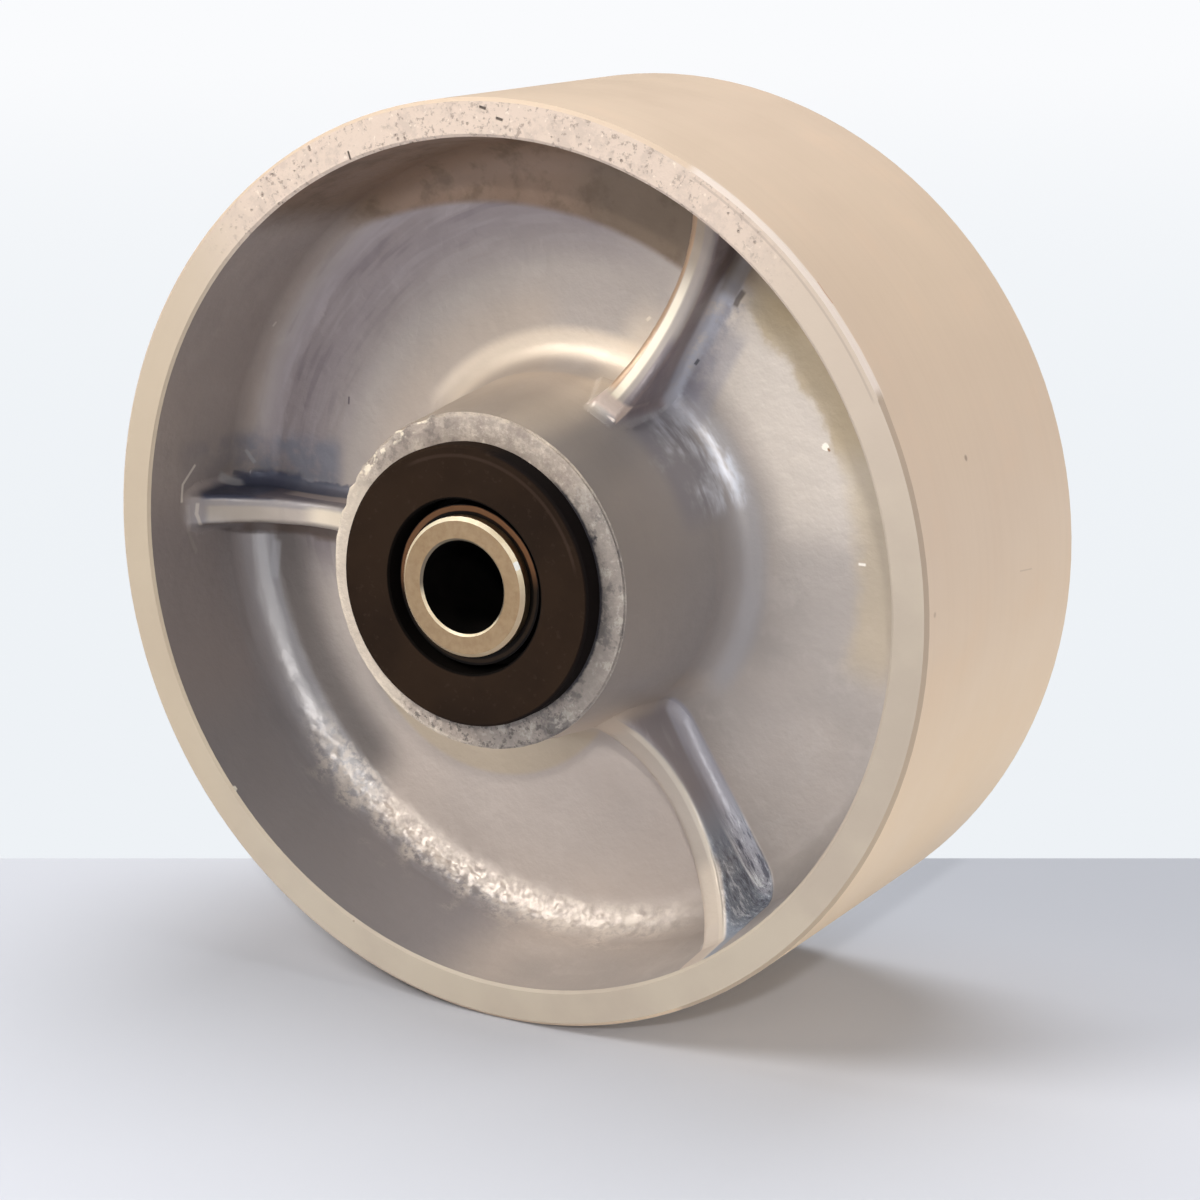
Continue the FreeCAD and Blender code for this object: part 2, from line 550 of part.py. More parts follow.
# Rollers: ground steel pins between the sleeve and the hub's bore.
ROLLER_SIDE = "sizes.roller_diameter / 2"
ROLLER_END = "fits.roller_end"
rollers = []
for number in range(int(fits.get("roller_count"))):
    roller = new_body("roller_%02d" % (number + 1))
    roller_section = new_sketch(roller, "roller_section_%02d" % (number + 1), "XY_Plane")
    corner_outline(roller_section, [
        ("0", "-" + ROLLER_END),
        (ROLLER_SIDE + " - sizes.roller_chamfer", "-" + ROLLER_END),
        (ROLLER_SIDE, "-(%s - sizes.roller_chamfer)" % ROLLER_END),
        (ROLLER_SIDE, ROLLER_END + " - sizes.roller_chamfer"),
        (ROLLER_SIDE + " - sizes.roller_chamfer", ROLLER_END),
        ("0", ROLLER_END),
    ])
    turned(roller, "roller_turning_%02d" % (number + 1), roller_section)
    turn = "360 deg * %d / fits.roller_count" % number
    roller.setExpression("Placement.Base.x", "fits.roller_pitch * cos(%s)" % turn)
    roller.setExpression("Placement.Base.z", "fits.roller_pitch * sin(%s)" % turn)
    rollers.append(roller)

# Thrust washer: bronze, a flange behind the cap and a collar along the sleeve.
# Dust cap: moulded, its spigot pressed into the hub's bore and its flange on the hub's face.
WASHER_BORE = "fits.sleeve_diameter / 2 + sizes.washer_bore_clearance"
WASHER_COLLAR = WASHER_BORE + " + sizes.washer_collar_wall"
WASHER_RIM = "fits.bearing_bore / 2 - sizes.washer_rim_clearance"
CAP_INSIDE = "fits.cap_hole / 2"
CAP_SPIGOT = "fits.bearing_bore / 2"
CAP_SIDE = "fits.cap_diameter / 2"
front_turn = FreeCAD.Placement(FreeCAD.Vector(0, 0, 0), FreeCAD.Rotation(FreeCAD.Vector(0, 0, 1), 180))
washers = []
caps = []
for end, placement in (("front", front_turn), ("rear", FreeCAD.Placement())):
    washer = new_body(end + "_thrust_washer")
    washer_section = new_sketch(washer, end + "_washer_section", "XY_Plane")
    corner_outline(washer_section, [
        (WASHER_BORE, "fits.washer_inner_face"),
        (WASHER_RIM, "fits.washer_inner_face"),
        (WASHER_RIM, "fits.washer_outer_face"),
        (WASHER_COLLAR, "fits.washer_outer_face"),
        (WASHER_COLLAR, "fits.collar_end"),
        (WASHER_BORE, "fits.collar_end"),
    ])
    turned(washer, end + "_washer_turning", washer_section)
    washer.Placement = placement
    washers.append(washer)

    cap = new_body(end + "_dust_cap")
    cap_section = new_sketch(cap, end + "_cap_section", "XY_Plane")
    corner_outline(cap_section, [
        (CAP_INSIDE, "fits.spigot_end"),
        (CAP_SPIGOT, "fits.spigot_end"),
        (CAP_SPIGOT, "fits.hub_face"),
        (CAP_SIDE, "fits.hub_face"),
        (CAP_SIDE, "fits.cap_face"),
        (CAP_INSIDE, "fits.cap_face"),
    ])
    turned(cap, end + "_cap_turning", cap_section)
    cap_face = fits.get("cap_face")
    dressed(cap, end + "_cap_edge", "PartDesign::Chamfer",
            ring_edges(cap.Tip.Shape, fits.get("cap_diameter") / 2, cap_face),
            "Size", "sizes.cap_edge_chamfer")
    dressed(cap, end + "_cap_mouth", "PartDesign::Chamfer",
            ring_edges(cap.Tip.Shape, fits.get("cap_hole") / 2, cap_face),
            "Size", "sizes.cap_hole_chamfer")
    cap.Placement = placement
    caps.append(cap)

doc.recompute()
faulty = [item.Label for item in doc.Objects if "Invalid" in item.State or "Error" in item.State]
if faulty:
    raise RuntimeError("failed objects: " + ", ".join(faulty))
pieces = [casting, sleeve, cage] + rollers + washers + caps
for piece in pieces:
    shape = piece.Shape
    if shape.isNull() or not shape.isValid() or len(shape.Solids) != 1:
        raise RuntimeError("%s has no single valid solid" % piece.Label)
    print("%-20s %9.0f mm3" % (piece.Label, shape.Volume))
    shape.exportStep("parts/%s.step" % piece.Label)
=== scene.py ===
import bmesh
import bpy
import math
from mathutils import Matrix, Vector, noise


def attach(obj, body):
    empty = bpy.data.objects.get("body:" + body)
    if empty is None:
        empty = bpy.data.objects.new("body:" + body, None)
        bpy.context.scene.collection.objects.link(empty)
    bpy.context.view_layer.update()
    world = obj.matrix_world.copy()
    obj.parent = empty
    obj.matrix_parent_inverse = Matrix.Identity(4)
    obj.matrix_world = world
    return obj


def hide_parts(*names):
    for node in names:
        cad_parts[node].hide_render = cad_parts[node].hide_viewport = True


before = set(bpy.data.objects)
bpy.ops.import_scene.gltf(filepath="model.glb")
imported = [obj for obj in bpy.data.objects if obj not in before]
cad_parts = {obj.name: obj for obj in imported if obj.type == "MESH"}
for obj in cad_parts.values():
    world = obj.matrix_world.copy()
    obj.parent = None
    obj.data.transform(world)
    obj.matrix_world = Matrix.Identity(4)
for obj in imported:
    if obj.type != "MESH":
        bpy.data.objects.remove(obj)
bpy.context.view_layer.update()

# The wheel casting: hub, web, three ribs and rim poured in one piece of grey iron, painted
# silver grey, then turned bright on the tread, faced on the rim and bored for the bearing.
# Its skin is the solid's own surface, cut finer, laid on the turned section and made uneven.

TREAD_RADIUS = 0.1
RIM_FACE = 0.038
RIM_INSIDE = 0.092
WALL_SLOPE = math.tan(math.radians(5))
HUB_FACE = 0.045
HUB_RADIUS = 0.036
HUB_SLOPE = math.tan(math.radians(6))
WEB_FACE = 0.0035
RIM_FILLET = 0.009
HUB_FILLET = 0.007
BORE_RADIUS = 0.025
TREAD_CHAMFER = 0.0008
LIP_CHAMFER = 0.0006
HUB_CHAMFER = 0.001
BORE_CHAMFER = 0.0008

# middles of the two fillets in the section, out from the axle and along it
RIM_FILLET_ALONG = WEB_FACE + RIM_FILLET
RIM_FILLET_OUT = RIM_INSIDE - (RIM_FACE - RIM_FILLET_ALONG) * WALL_SLOPE - RIM_FILLET
HUB_FILLET_ALONG = WEB_FACE + HUB_FILLET
HUB_FILLET_OUT = HUB_RADIUS + (HUB_FACE - HUB_FILLET_ALONG) * HUB_SLOPE + HUB_FILLET

# circles where the section has a corner: out from the axle, along it
CORNERS = [(TREAD_RADIUS, RIM_FACE - TREAD_CHAMFER), (TREAD_RADIUS - TREAD_CHAMFER, RIM_FACE),
           (RIM_INSIDE + LIP_CHAMFER, RIM_FACE),
           (RIM_INSIDE - LIP_CHAMFER * WALL_SLOPE, RIM_FACE - LIP_CHAMFER),
           (HUB_RADIUS - HUB_CHAMFER, HUB_FACE),
           (HUB_RADIUS + HUB_CHAMFER * HUB_SLOPE, HUB_FACE - HUB_CHAMFER),
           (BORE_RADIUS + BORE_CHAMFER, HUB_FACE), (BORE_RADIUS, HUB_FACE - BORE_CHAMFER)]
# how far the solid's flat facets lie off its true curves, at most
FACET_GAP = 0.00012
CORNER_GAP = 0.00001


def on_section(out, along):
    """The nearest point of the turned section, where a point lies within a facet's gap of it."""
    for corner_out, corner_along in CORNERS:
        if abs(out - corner_out) < FACET_GAP and abs(along - corner_along) < CORNER_GAP:
            return corner_out, corner_along
    if abs(out - TREAD_RADIUS) < FACET_GAP and along < RIM_FACE - TREAD_CHAMFER:
        return TREAD_RADIUS, along
    if abs(out - BORE_RADIUS) < FACET_GAP and along < HUB_FACE - BORE_CHAMFER:
        return BORE_RADIUS, along
    wall = RIM_INSIDE - (RIM_FACE - along) * WALL_SLOPE
    if abs(out - wall) < FACET_GAP and RIM_FILLET_ALONG - 0.0008 < along < RIM_FACE - LIP_CHAMFER:
        return wall, along
    side = HUB_RADIUS + (HUB_FACE - along) * HUB_SLOPE
    if abs(out - side) < FACET_GAP and HUB_FILLET_ALONG < along < HUB_FACE - HUB_CHAMFER:
        return side, along
    for middle_out, middle_along, radius, in_rim in (
            (RIM_FILLET_OUT, RIM_FILLET_ALONG, RIM_FILLET, True),
            (HUB_FILLET_OUT, HUB_FILLET_ALONG, HUB_FILLET, False)):
        reach = math.hypot(out - middle_out, along - middle_along)
        beyond = (out > middle_out) == in_rim
        if beyond and along < middle_along and abs(reach - radius) < FACET_GAP:
            return (middle_out + (out - middle_out) * radius / reach,
                    middle_along + (along - middle_along) * radius / reach)
    return out, along


def spread(spot, factor):
    """Moves a point out from the axle."""
    spot.x *= factor
    spot.z *= factor


def beside(spot, degrees):
    """How far a point lies out along a direction round the axle, and how far across it."""
    cosine, sine = math.cos(math.radians(degrees)), math.sin(math.radians(degrees))
    return spot.x * cosine + spot.z * sine, spot.z * cosine - spot.x * sine


def skin_edge_length(spot):
    """The longest edge the skin keeps here: fine where the casting is rough and seen."""
    out = math.hypot(spot.x, spot.z)
    # the tread, then the bore: both turned smooth
    if out > 0.0993:
        return 0.006
    if out < 0.0257:
        return 0.009
    # the lumps low on the rim's fillet
    if spot.y < -0.004 and 0.082 < out < 0.0895 and spot.z < -0.05 and spot.x < 0.018:
        return 0.0009
    # the squared end of the upper right rib
    if -0.026 < spot.y < -0.008 and out < 0.0425 and spot.z > 0.03 and 0.004 < spot.x < 0.026:
        return 0.0008
    # the tread's burr, then the rest of the rim's face
    if spot.y < -0.0365 and out > 0.097 and spot.x > 0.04 and spot.z > 0.04:
        return 0.001
    if spot.y < -0.0365 and out > 0.09:
        return 0.0017
    # the hub's face, then all else in front, and the rear
    if spot.y < -0.0435:
        return 0.0012
    if spot.y < 0:
        return 0.0024
    return 0.0048


iron = bmesh.new()
iron.from_mesh(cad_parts["wheel_casting"].data)
bmesh.ops.remove_doubles(iron, verts=iron.verts, dist=0.000001)
EDGE_LIMITS = (0.016, 0.008, 0.004, 0.002, 0.001, 0.0007, 0.0007)
for limit in EDGE_LIMITS:
    too_long = []
    for edge in iron.edges:
        middle = (edge.verts[0].co + edge.verts[1].co) / 2
        if edge.calc_length() > max(limit, skin_edge_length(middle)):
            too_long.append(edge)
    bmesh.ops.subdivide_edges(iron, edges=too_long, cuts=1)
    bmesh.ops.triangulate(iron, faces=[face for face in iron.faces if len(face.verts) > 3])
for vertex in iron.verts:
    out = math.hypot(vertex.co.x, vertex.co.z)
    settled_out, settled_along = on_section(out, abs(vertex.co.y))
    spread(vertex.co, settled_out / out)
    vertex.co.y = math.copysign(settled_along, vertex.co.y)
iron.normal_update()

CRISP_ANGLE = math.radians(24)
for edge in iron.edges:
    edge.smooth = len(edge.link_faces) == 2 and edge.calc_face_angle(0) < CRISP_ANGLE

# the ribs, by their angle in degrees from +X towards +Z, and how far the paint of each reaches
# to its two sides
LEFT_RIB, UPPER_RIB, LOWER_RIB = 179, 61.5, 301.5
RIB_REACH = [(LEFT_RIB, -0.019, 0.0212), (UPPER_RIB, -0.0152, 0.0166), (LOWER_RIB, -0.0062, 0.0082)]

# just inside the rim's face, where the turned lip meets the cast wall
LIP_STARTS = 0.0373

# slots by finish: painted skin at the left and at the right, then beside each rib, then bare iron
RIGHT_FROM, RIGHT_TO = -105, 88
SKIN_LEFT, SKIN_RIGHT, SKIN_BY_RIB, TREAD, FACED_RIM, HUB_END, BORE = 0, 1, 2, 5, 6, 7, 8
for face in iron.faces:
    middle = face.calc_center_median()
    out = math.hypot(middle.x, middle.z)
    face.smooth = True
    if out > 0.0991:
        face.material_index = TREAD
    elif out > 0.0915 and abs(middle.y) > LIP_STARTS:
        face.material_index = FACED_RIM
    elif out < 0.0259:
        face.material_index = BORE
    elif abs(middle.y) > 0.044:
        face.material_index = HUB_END
    else:
        on_right = RIGHT_FROM < math.degrees(math.atan2(middle.z, middle.x)) < RIGHT_TO
        face.material_index = SKIN_RIGHT if on_right else SKIN_LEFT
        for number, (degrees, low, high) in enumerate(RIB_REACH):
            along, across = beside(middle, degrees)
            if along > 0.034 and low < across < high:
                face.material_index = SKIN_BY_RIB + number

# the mould's sand tore away low on the rim's fillet, in a band about this angle
ROUGH_BAND_MIDDLE = math.radians(-112)


def crumple(spot, octaves):
    """Noise of this many octaves, to both sides of 0."""
    return noise.fractal(spot, 1.0, 2.0, octaves, noise_basis="PERLIN_ORIGINAL")


def unevenness(spot, out, turn):
    """How far the sand mould's surface stands off the pattern's, in metres."""
    broad = crumple(spot * 70, 3) * 0.00016
    fine = crumple(spot * 330, 2) * 0.00004
    gap = abs((turn - ROUGH_BAND_MIDDLE + math.pi) % (2 * math.pi) - math.pi)
    band = max(0, 1 - gap / 0.95) * max(0, 1 - abs(out - 0.0855) / 0.0055) * (1 if spot.y < 0 else 0.3)
    lumps = crumple(spot * 460, 3) * 0.0007
    return broad + fine + band * lumps


moves = {}
for vertex in iron.verts:
    spot = vertex.co
    out = math.hypot(spot.x, spot.z)
    turn = math.atan2(spot.z, spot.x)
    along = abs(spot.y)
    # what was turned stays true, and the cast wall runs into it without a step
    if out > 0.0925 or out < 0.026 or along > LIP_STARTS and out > 0.08:
        continue
    if along > 0.0439:
        sawn = crumple(spot * 400, 2) * 0.00009
        moves[vertex] = sawn if 0.0263 <= out <= 0.0347 else 0.0
        continue
    fade = min(1, max(0, (LIP_STARTS - along) / 0.003)) if out > 0.08 else 1.0
    moves[vertex] = unevenness(spot, out, turn) * fade
for vertex, move in moves.items():
    vertex.co += vertex.normal * move

# the end of the upper right rib stands on the hub's side as a squared step, longer on its left
RIB_STEP = 0.015
for vertex in iron.verts:
    spot = vertex.co
    along, across = beside(spot, UPPER_RIB)
    if not -0.0245 < spot.y < -0.009 or not 0.036 < along < 0.0425 or math.hypot(spot.x, spot.z) > 0.0425:
        continue
    left_edge = 0.0044 + (spot.y + 0.0233) * 0.44
    inside = min(across + 0.0034, left_edge - across, (spot.y + 0.0243) * 1.2)
    step = max(0, min(1, inside / 0.0006)) * max(0, min(1, (0.0425 - along) / 0.002))
    spread(spot, 1 + RIB_STEP * step)

# the hub's front corner, its chamfer closed to a sharp but ragged edge, which is worn back most of
# all at its upper left
HUB_CORNER_OUT, HUB_CORNER_FRONT = 0.03565, -0.0446
for vertex in iron.verts:
    out = math.hypot(vertex.co.x, vertex.co.z)
    turn = math.degrees(math.atan2(vertex.co.z, vertex.co.x))
    if vertex.co.y > -0.0425 or not 0.0343 < out < 0.0368:
        continue
    if vertex.co.y < -0.0448 and out > 0.0348:
        spread(vertex.co, HUB_CORNER_OUT / out)
    elif vertex.co.y < -0.0438 and out > 0.0358:
        vertex.co.y = HUB_CORNER_FRONT
    worn = 0.1 + 0.9 * max(0, min(1, (turn - 98) / 12, (172 - turn) / 18))
    knock = max(0, 0.35 + noise.noise(vertex.co * 430) * 1.2) * worn
    spread(vertex.co, 1 - 0.02 * knock)
    vertex.co.y += 0.0007 * knock

# the burr that the turning tool left along the front edge of the tread: it starts with a step at
# its lower end and dies out at its upper one
BURR_START, BURR_END = math.radians(27), math.radians(62)
for vertex in iron.verts:
    out = math.hypot(vertex.co.x, vertex.co.z)
    turn = math.atan2(vertex.co.z, vertex.co.x)
    if vertex.co.y > -0.0362 or out < 0.0975 or not BURR_START < turn < BURR_END:
        continue
    rise = min(1, (turn - BURR_START) / 0.01) * min(1, (BURR_END - turn) / 0.35)
    ragged = 0.75 + 0.5 * noise.noise(vertex.co * 260)
    near_edge = max(0, 1 - abs(out - 0.0996) / 0.0016) * max(0, 1 - abs(vertex.co.y + 0.0376) / 0.0012)
    spread(vertex.co, 1 + 0.0055 * rise * ragged * near_edge)
    vertex.co.y -= 0.00045 * rise * ragged * near_edge

casting_mesh = bpy.data.meshes.new("cast_wheel_skin")
iron.to_mesh(casting_mesh)
iron.free()
casting = bpy.data.objects.new("cast_wheel_skin", casting_mesh)
bpy.context.scene.collection.objects.link(casting)


class Finish:
    """A material being mixed, on the object's own coordinates in metres."""

    def __init__(self, name):
        self.material = bpy.data.materials.new(name)
        self.material.use_nodes = True
        self.tree = self.material.node_tree
        self.tree.nodes.clear()
        self.output = self.node("OutputMaterial")
        self.shader = self.node("BsdfPrincipled")
        self.put(self.shader.outputs["BSDF"], self.output.inputs["Surface"])
        self.place = self.node("TexCoord").outputs["Object"]
        axes = self.node("SeparateXYZ")
        self.put(self.place, axes.inputs[0])
        self.x, self.y, self.z = axes.outputs
        self.colour, self.height = None, None

    def node(self, kind):
        return self.tree.nodes.new("ShaderNode" + kind)

    def put(self, value, socket):
        """Joins a node's output to a socket, or sets the socket to a plain value."""
        if isinstance(value, bpy.types.NodeSocket):
            self.tree.links.new(value, socket)
        else:
            socket.default_value = value

    def maths(self, operation, first, second=0.0, third=0.0):
        node = self.node("Math")
        node.operation = operation
        for value, socket in zip((first, second, third), node.inputs):
            self.put(value, socket)
        return node.outputs[0]

    def vector(self, operation, first, second=(0, 0, 0)):
        node = self.node("VectorMath")
        node.operation = operation
        self.put(first, node.inputs[0])
        self.put(second, node.inputs[1])
        return node.outputs["Value" if operation in ("DISTANCE", "DOT_PRODUCT", "LENGTH") else "Vector"]

    def out_from_axle(self):
        """Distance from the axle."""
        squares = self.maths("ADD", self.maths("POWER", self.x, 2.0), self.maths("POWER", self.z, 2.0))
        return self.maths("SQRT", squares)

    def moved(self, scale, shift):
        mapping = self.node("Mapping")
        mapping.inputs["Scale"].default_value = scale
        mapping.inputs["Location"].default_value = shift
        self.put(self.place, mapping.inputs["Vector"])
        return mapping.outputs[0]

    def grain(self, size, detail=3.0, roughness=0.55, stretch=(1, 1, 1), shift=(0, 0, 0), over=None):
        """Noise whose blotches are about this many metres across. Where a distance is given it
        changes along that too, so that a stretched grain runs in streaks across it."""
        node = self.node("TexNoise")
        if over is not None:
            node.noise_dimensions = "4D"
            self.put(over, node.inputs["W"])
        node.inputs["Scale"].default_value = 0.5 / size
        node.inputs["Detail"].default_value = detail
        node.inputs["Roughness"].default_value = roughness
        self.put(self.moved(stretch, shift), node.inputs["Vector"])
        return node.outputs["Fac"]

    def pits(self, size, shift=(0, 0, 0)):
        """Distance from the middle of the nearest of many scattered spots, in their own size."""
        node = self.node("TexVoronoi")
        node.inputs["Scale"].default_value = 1 / size
        self.put(self.moved((1, 1, 1), shift), node.inputs["Vector"])
        return node.outputs["Distance"]

    def toward(self, east, up):
        """Distance from the axle, measured along a direction across it."""
        return self.maths("ADD", self.maths("MULTIPLY", self.x, east), self.maths("MULTIPLY", self.z, up))

    def beside_rib(self, degrees):
        """Two distances in a rib's own frame: out along it, and across it."""
        cosine, sine = math.cos(math.radians(degrees)), math.sin(math.radians(degrees))
        self.along = self.toward(cosine, sine)
        self.across = self.toward(-sine, cosine)
        return self.along, self.across

    def strip(self, low, high, fade, left, right, side_fade):
        """1 on a strip along the rib, out from low to high and across from left to right."""
        return self.both(self.span(self.along, low, high, fade),
                         self.span(self.across, left, right, side_fade))

    def bent(self, distance, grain, reach):
        """A distance that a grain pushes up and down by up to half the reach."""
        return self.maths("ADD", distance,
                          self.maths("MULTIPLY", self.maths("SUBTRACT", grain, 0.5), reach))

    def rest_of(self, mask):
        """1 where the mask is 0."""
        return self.maths("SUBTRACT", 1.0, mask)

    def span(self, value, low, high, fade):
        """1 from low to high, falling to 0 over the fade on both sides."""
        return self.both(self.between(value, low - fade, low), self.between(value, high + fade, high))

    def scratch(self, start, end, width):
        """1 along a straight scratch from one spot to another."""
        run = Vector(end) - Vector(start)
        direction = run / run.length
        offset = self.vector("SUBTRACT", self.place, start)
        aside = self.vector("LENGTH", self.vector("CROSS_PRODUCT", offset, direction))
        return self.both(self.span(self.vector("DOT_PRODUCT", offset, direction), 0.0, run.length, width),
                         self.between(aside, width, width * 0.4))

    def between(self, value, low, high):
        """0 below low, 1 above high, smooth between. With low above high it falls instead."""
        node = self.node("MapRange")
        node.interpolation_type = "SMOOTHSTEP"
        falls = low > high
        self.put(value, node.inputs["Value"])
        node.inputs["From Min"].default_value = min(low, high)
        node.inputs["From Max"].default_value = max(low, high)
        node.inputs["To Min"].default_value = 1.0 if falls else 0.0
        node.inputs["To Max"].default_value = 0.0 if falls else 1.0
        return node.outputs["Result"]

    def both(self, *masks):
        result = masks[0]
        for mask in masks[1:]:
            result = self.maths("MULTIPLY", result, mask)
        return result

    def near(self, spot, radius, fade, ragged=0.0):
        """1 round a spot given in metres, falling to 0 over the fade, with a ragged outline."""
        distance = self.vector("DISTANCE", self.place, spot)
        if ragged:
            distance = self.bent(distance, self.grain(radius * 0.6, 3), ragged)
        return self.between(distance, radius + fade, radius)

    def sector(self, start, end, fade):
        """1 between two angles in degrees round the axle, from +X towards +Z."""
        middle = math.radians((start + end) / 2)
        half = (end - start) / 2
        reach = self.toward(math.cos(middle), math.sin(middle))
        return self.between(self.maths("DIVIDE", reach, self.out_from_axle()),
                            math.cos(math.radians(half + fade)), math.cos(math.radians(half)))

    def stroke(self, spots, width):
        """1 along a bent line through some spots."""
        pieces = [self.scratch(start, end, width) for start, end in zip(spots, spots[1:])]
        whole = pieces[0]
        for piece in pieces[1:]:
            whole = self.maths("MAXIMUM", whole, piece)
        return whole

    def ring(self, centre_x, centre_z, low, high):
        """0 inside a circle about a line beside the axle, 1 outside it."""
        across = self.maths("POWER", self.maths("SUBTRACT", self.x, centre_x), 2.0)
        up = self.maths("POWER", self.maths("SUBTRACT", self.z, centre_z), 2.0)
        return self.between(self.maths("SQRT", self.maths("ADD", across, up)), low, high)

    def mix(self, mask, under, over):
        """One colour over another where the mask is 1."""
        node = self.node("Mix")
        node.data_type = "RGBA"
        self.put(mask, node.inputs["Factor"])
        for value, socket in ((under, node.inputs["A"]), (over, node.inputs["B"])):
            self.put(value if isinstance(value, bpy.types.NodeSocket) else linear(value), socket)
        return node.outputs["Result"]

    def start(self, one, other, mask):
        """The ground colour, which goes from one to the other with the mask."""
        self.colour = self.mix(mask, one, other)

    def lay(self, tint, *masks):
        """Lays a tint over the colour where all the masks are 1."""
        self.colour = self.mix(self.both(*masks), self.colour, tint)

    def raise_by(self, fraction, depth):
        """Adds relief: fraction 0 to 1 stands for up to this depth in metres."""
        amount = self.maths("MULTIPLY", fraction, depth * 1000)
        self.height = amount if self.height is None else self.maths("ADD", self.height, amount)

    def done(self, roughness, metallic=0.0, specular=0.5):
        self.put(self.colour, self.shader.inputs["Base Color"])
        self.put(roughness, self.shader.inputs["Roughness"])
        self.shader.inputs["Metallic"].default_value = metallic
        self.shader.inputs["Specular IOR Level"].default_value = specular
        if self.height is not None:
            bump = self.node("Bump")
            bump.inputs["Strength"].default_value = 1.0
            bump.inputs["Distance"].default_value = 0.001
            self.put(self.height, bump.inputs["Height"])
            self.put(bump.outputs["Normal"], self.shader.inputs["Normal"])
        return self.material


def linear(colour):
    """A colour written as 0 to 255, as the shader takes it."""
    parts = [value / 255 for value in colour]
    curved = [part / 12.92 if part < 0.04045 else ((part + 0.055) / 1.055) ** 2.4 for part in parts]
    return tuple(curved) + (1.0,)


# Silver-grey paint over the sand-cast skin: warm where it is thick, streaky in places, with oily
# smudges at the ribs, and with light and shade painted into its colour: painted shade and shadows
# in the recess, under the hub and at the ribs, painted highlights in the fillets, on the ribs and on
# the hub's side, and a painted sheen on the web at the right. It is mixed for the casting's left and
# right and for each rib, since one shader can't hold all its marks.
for paint_name, on_right, rib in (
        ("silver_paint_left", False, None), ("silver_paint_right", True, None),
        ("silver_paint_left_rib", False, LEFT_RIB), ("silver_paint_upper_rib", True, UPPER_RIB),
        ("silver_paint_lower_rib", True, LOWER_RIB)):
    skin = Finish(paint_name)
    out = skin.out_from_axle()
    front = skin.between(skin.y, 0.0, -0.002)
    off_web = skin.between(skin.maths("ABSOLUTE", skin.y), 0.01, 0.013)

    # the paint's own colour, with paler specks all over, and paler low on the web
    skin.start((186, 176, 169), (172, 164, 159), skin.between(skin.grain(0.02, 2), 0.35, 0.65))
    skin.lay((198, 190, 184), skin.between(skin.grain(0.004, 4, 0.65), 0.5, 0.72), 0.35)
    skin.lay((204, 190, 180), skin.sector(-128, -62, 12), skin.span(out, 0.05, 0.083, 0.008), 0.55)

    # darker purple grey on the web at the upper left, painted shade laid over streaky paint whose
    # streaks run round the axle, and warmer paint between it and the hub
    drag = skin.grain(0.0017, 2, 0.62, (0.14, 1, 0.14), over=out)
    upper_left_shade = skin.both(skin.sector(88, 178, 22), skin.span(out, 0.068, 0.0825, 0.008))
    skin.lay((139, 130, 134), upper_left_shade, 0.85)
    skin.lay((162, 154, 157), upper_left_shade, skin.between(drag, 0.5, 0.64), 0.45)
    skin.lay((118, 109, 116), upper_left_shade, skin.between(drag, 0.47, 0.36), 0.45)
    skin.lay((164, 155, 150), skin.sector(72, 168, 16), skin.between(out, 0.045, 0.056),
             skin.between(out, 0.074, 0.066), 0.5)
    if not on_right:
        skin.lay((188, 172, 156), skin.sector(104, 184, 14), skin.between(out, 0.062, 0.05), 0.5)

    # painted shade, greyer and darker, on the rim's inside at the left and on the web beside it at the
    # lower left, with a pale wisp along the fillet there painted as a highlight
    wall = skin.between(out, 0.0862, 0.0885)
    skin.lay((136, 133, 137), wall, skin.sector(-176, -106, 14), 0.9)
    if not on_right:
        skin.lay((160, 149, 146), wall, skin.sector(104, 200, 14), 0.5)
        low_left = skin.both(skin.sector(-180, -136, 10), skin.between(out, 0.068, 0.0785),
                             skin.between(out, 0.0885, 0.086))
        skin.lay((114, 108, 106), low_left, 0.9)
    wander = skin.grain(0.004, 3, 0.65)
    if not on_right:
        wisp = skin.grain(0.0015, 2, 0.66, (0.12, 1, 0.12), (0.3, 0, 0), over=out)
        bent_out = skin.bent(out, wisp, 0.0026)
        wisp_side = skin.both(front, skin.sector(-177, -131, 5))
        skin.lay((164, 164, 170), wisp_side, skin.span(bent_out, 0.0838, 0.0884, 0.0022), 0.5)
        pale_line = skin.both(wisp_side, skin.span(bent_out, 0.0855, 0.0865, 0.0018))
        skin.lay((206, 205, 208), pale_line, 0.5)

    # the hub's shadow on the web below it, painted in as a yellowish tint
    skin.lay((196, 179, 153), skin.rest_of(skin.ring(-0.0225, -0.0203, 0.0354, 0.0368)),
             skin.sector(-168, -66, 14), skin.between(out, 0.04, 0.044), 0.7)

    # painted shadow of the rim on its top inside and on the web: brown, patchy, ending in a round line
    rim_shadow = skin.both(skin.ring(-0.0187, -0.0169, 0.0902, 0.0922), skin.between(skin.z, 0.04, 0.056),
                     skin.sector(50, 124, 10))
    skin.lay((116, 97, 78), rim_shadow, skin.maths("MULTIPLY_ADD", front, 0.5, 0.4))
    skin.lay((158, 130, 112), rim_shadow, skin.sector(96, 118, 12), 0.45)
    skin.lay((94, 77, 61), rim_shadow, skin.between(skin.grain(0.0045, 4, 0.65), 0.48, 0.66), 0.5)

    if on_right:
        # a painted sheen, pale and bright, on the web at the right, then an ochre painted shade beside the
        # rim
        web_sheen = skin.both(skin.sector(16, 56, 14), skin.between(out, 0.047, 0.055),
                          skin.between(out, 0.076, 0.068))
        skin.lay((216, 206, 196), web_sheen, 0.8)
        ochre_shade_out = skin.bent(out, skin.grain(0.004, 4, 0.65), 0.006)
        skin.lay((188, 171, 142), front, skin.between(ochre_shade_out, 0.066, 0.0715),
                 skin.between(out, 0.083, 0.076), skin.sector(-12, 50, 8), 0.55)
        skin.lay((170, 150, 116), front, skin.span(ochre_shade_out, 0.069, 0.0745, 0.0018),
                 skin.sector(26, 48, 8), 0.55)
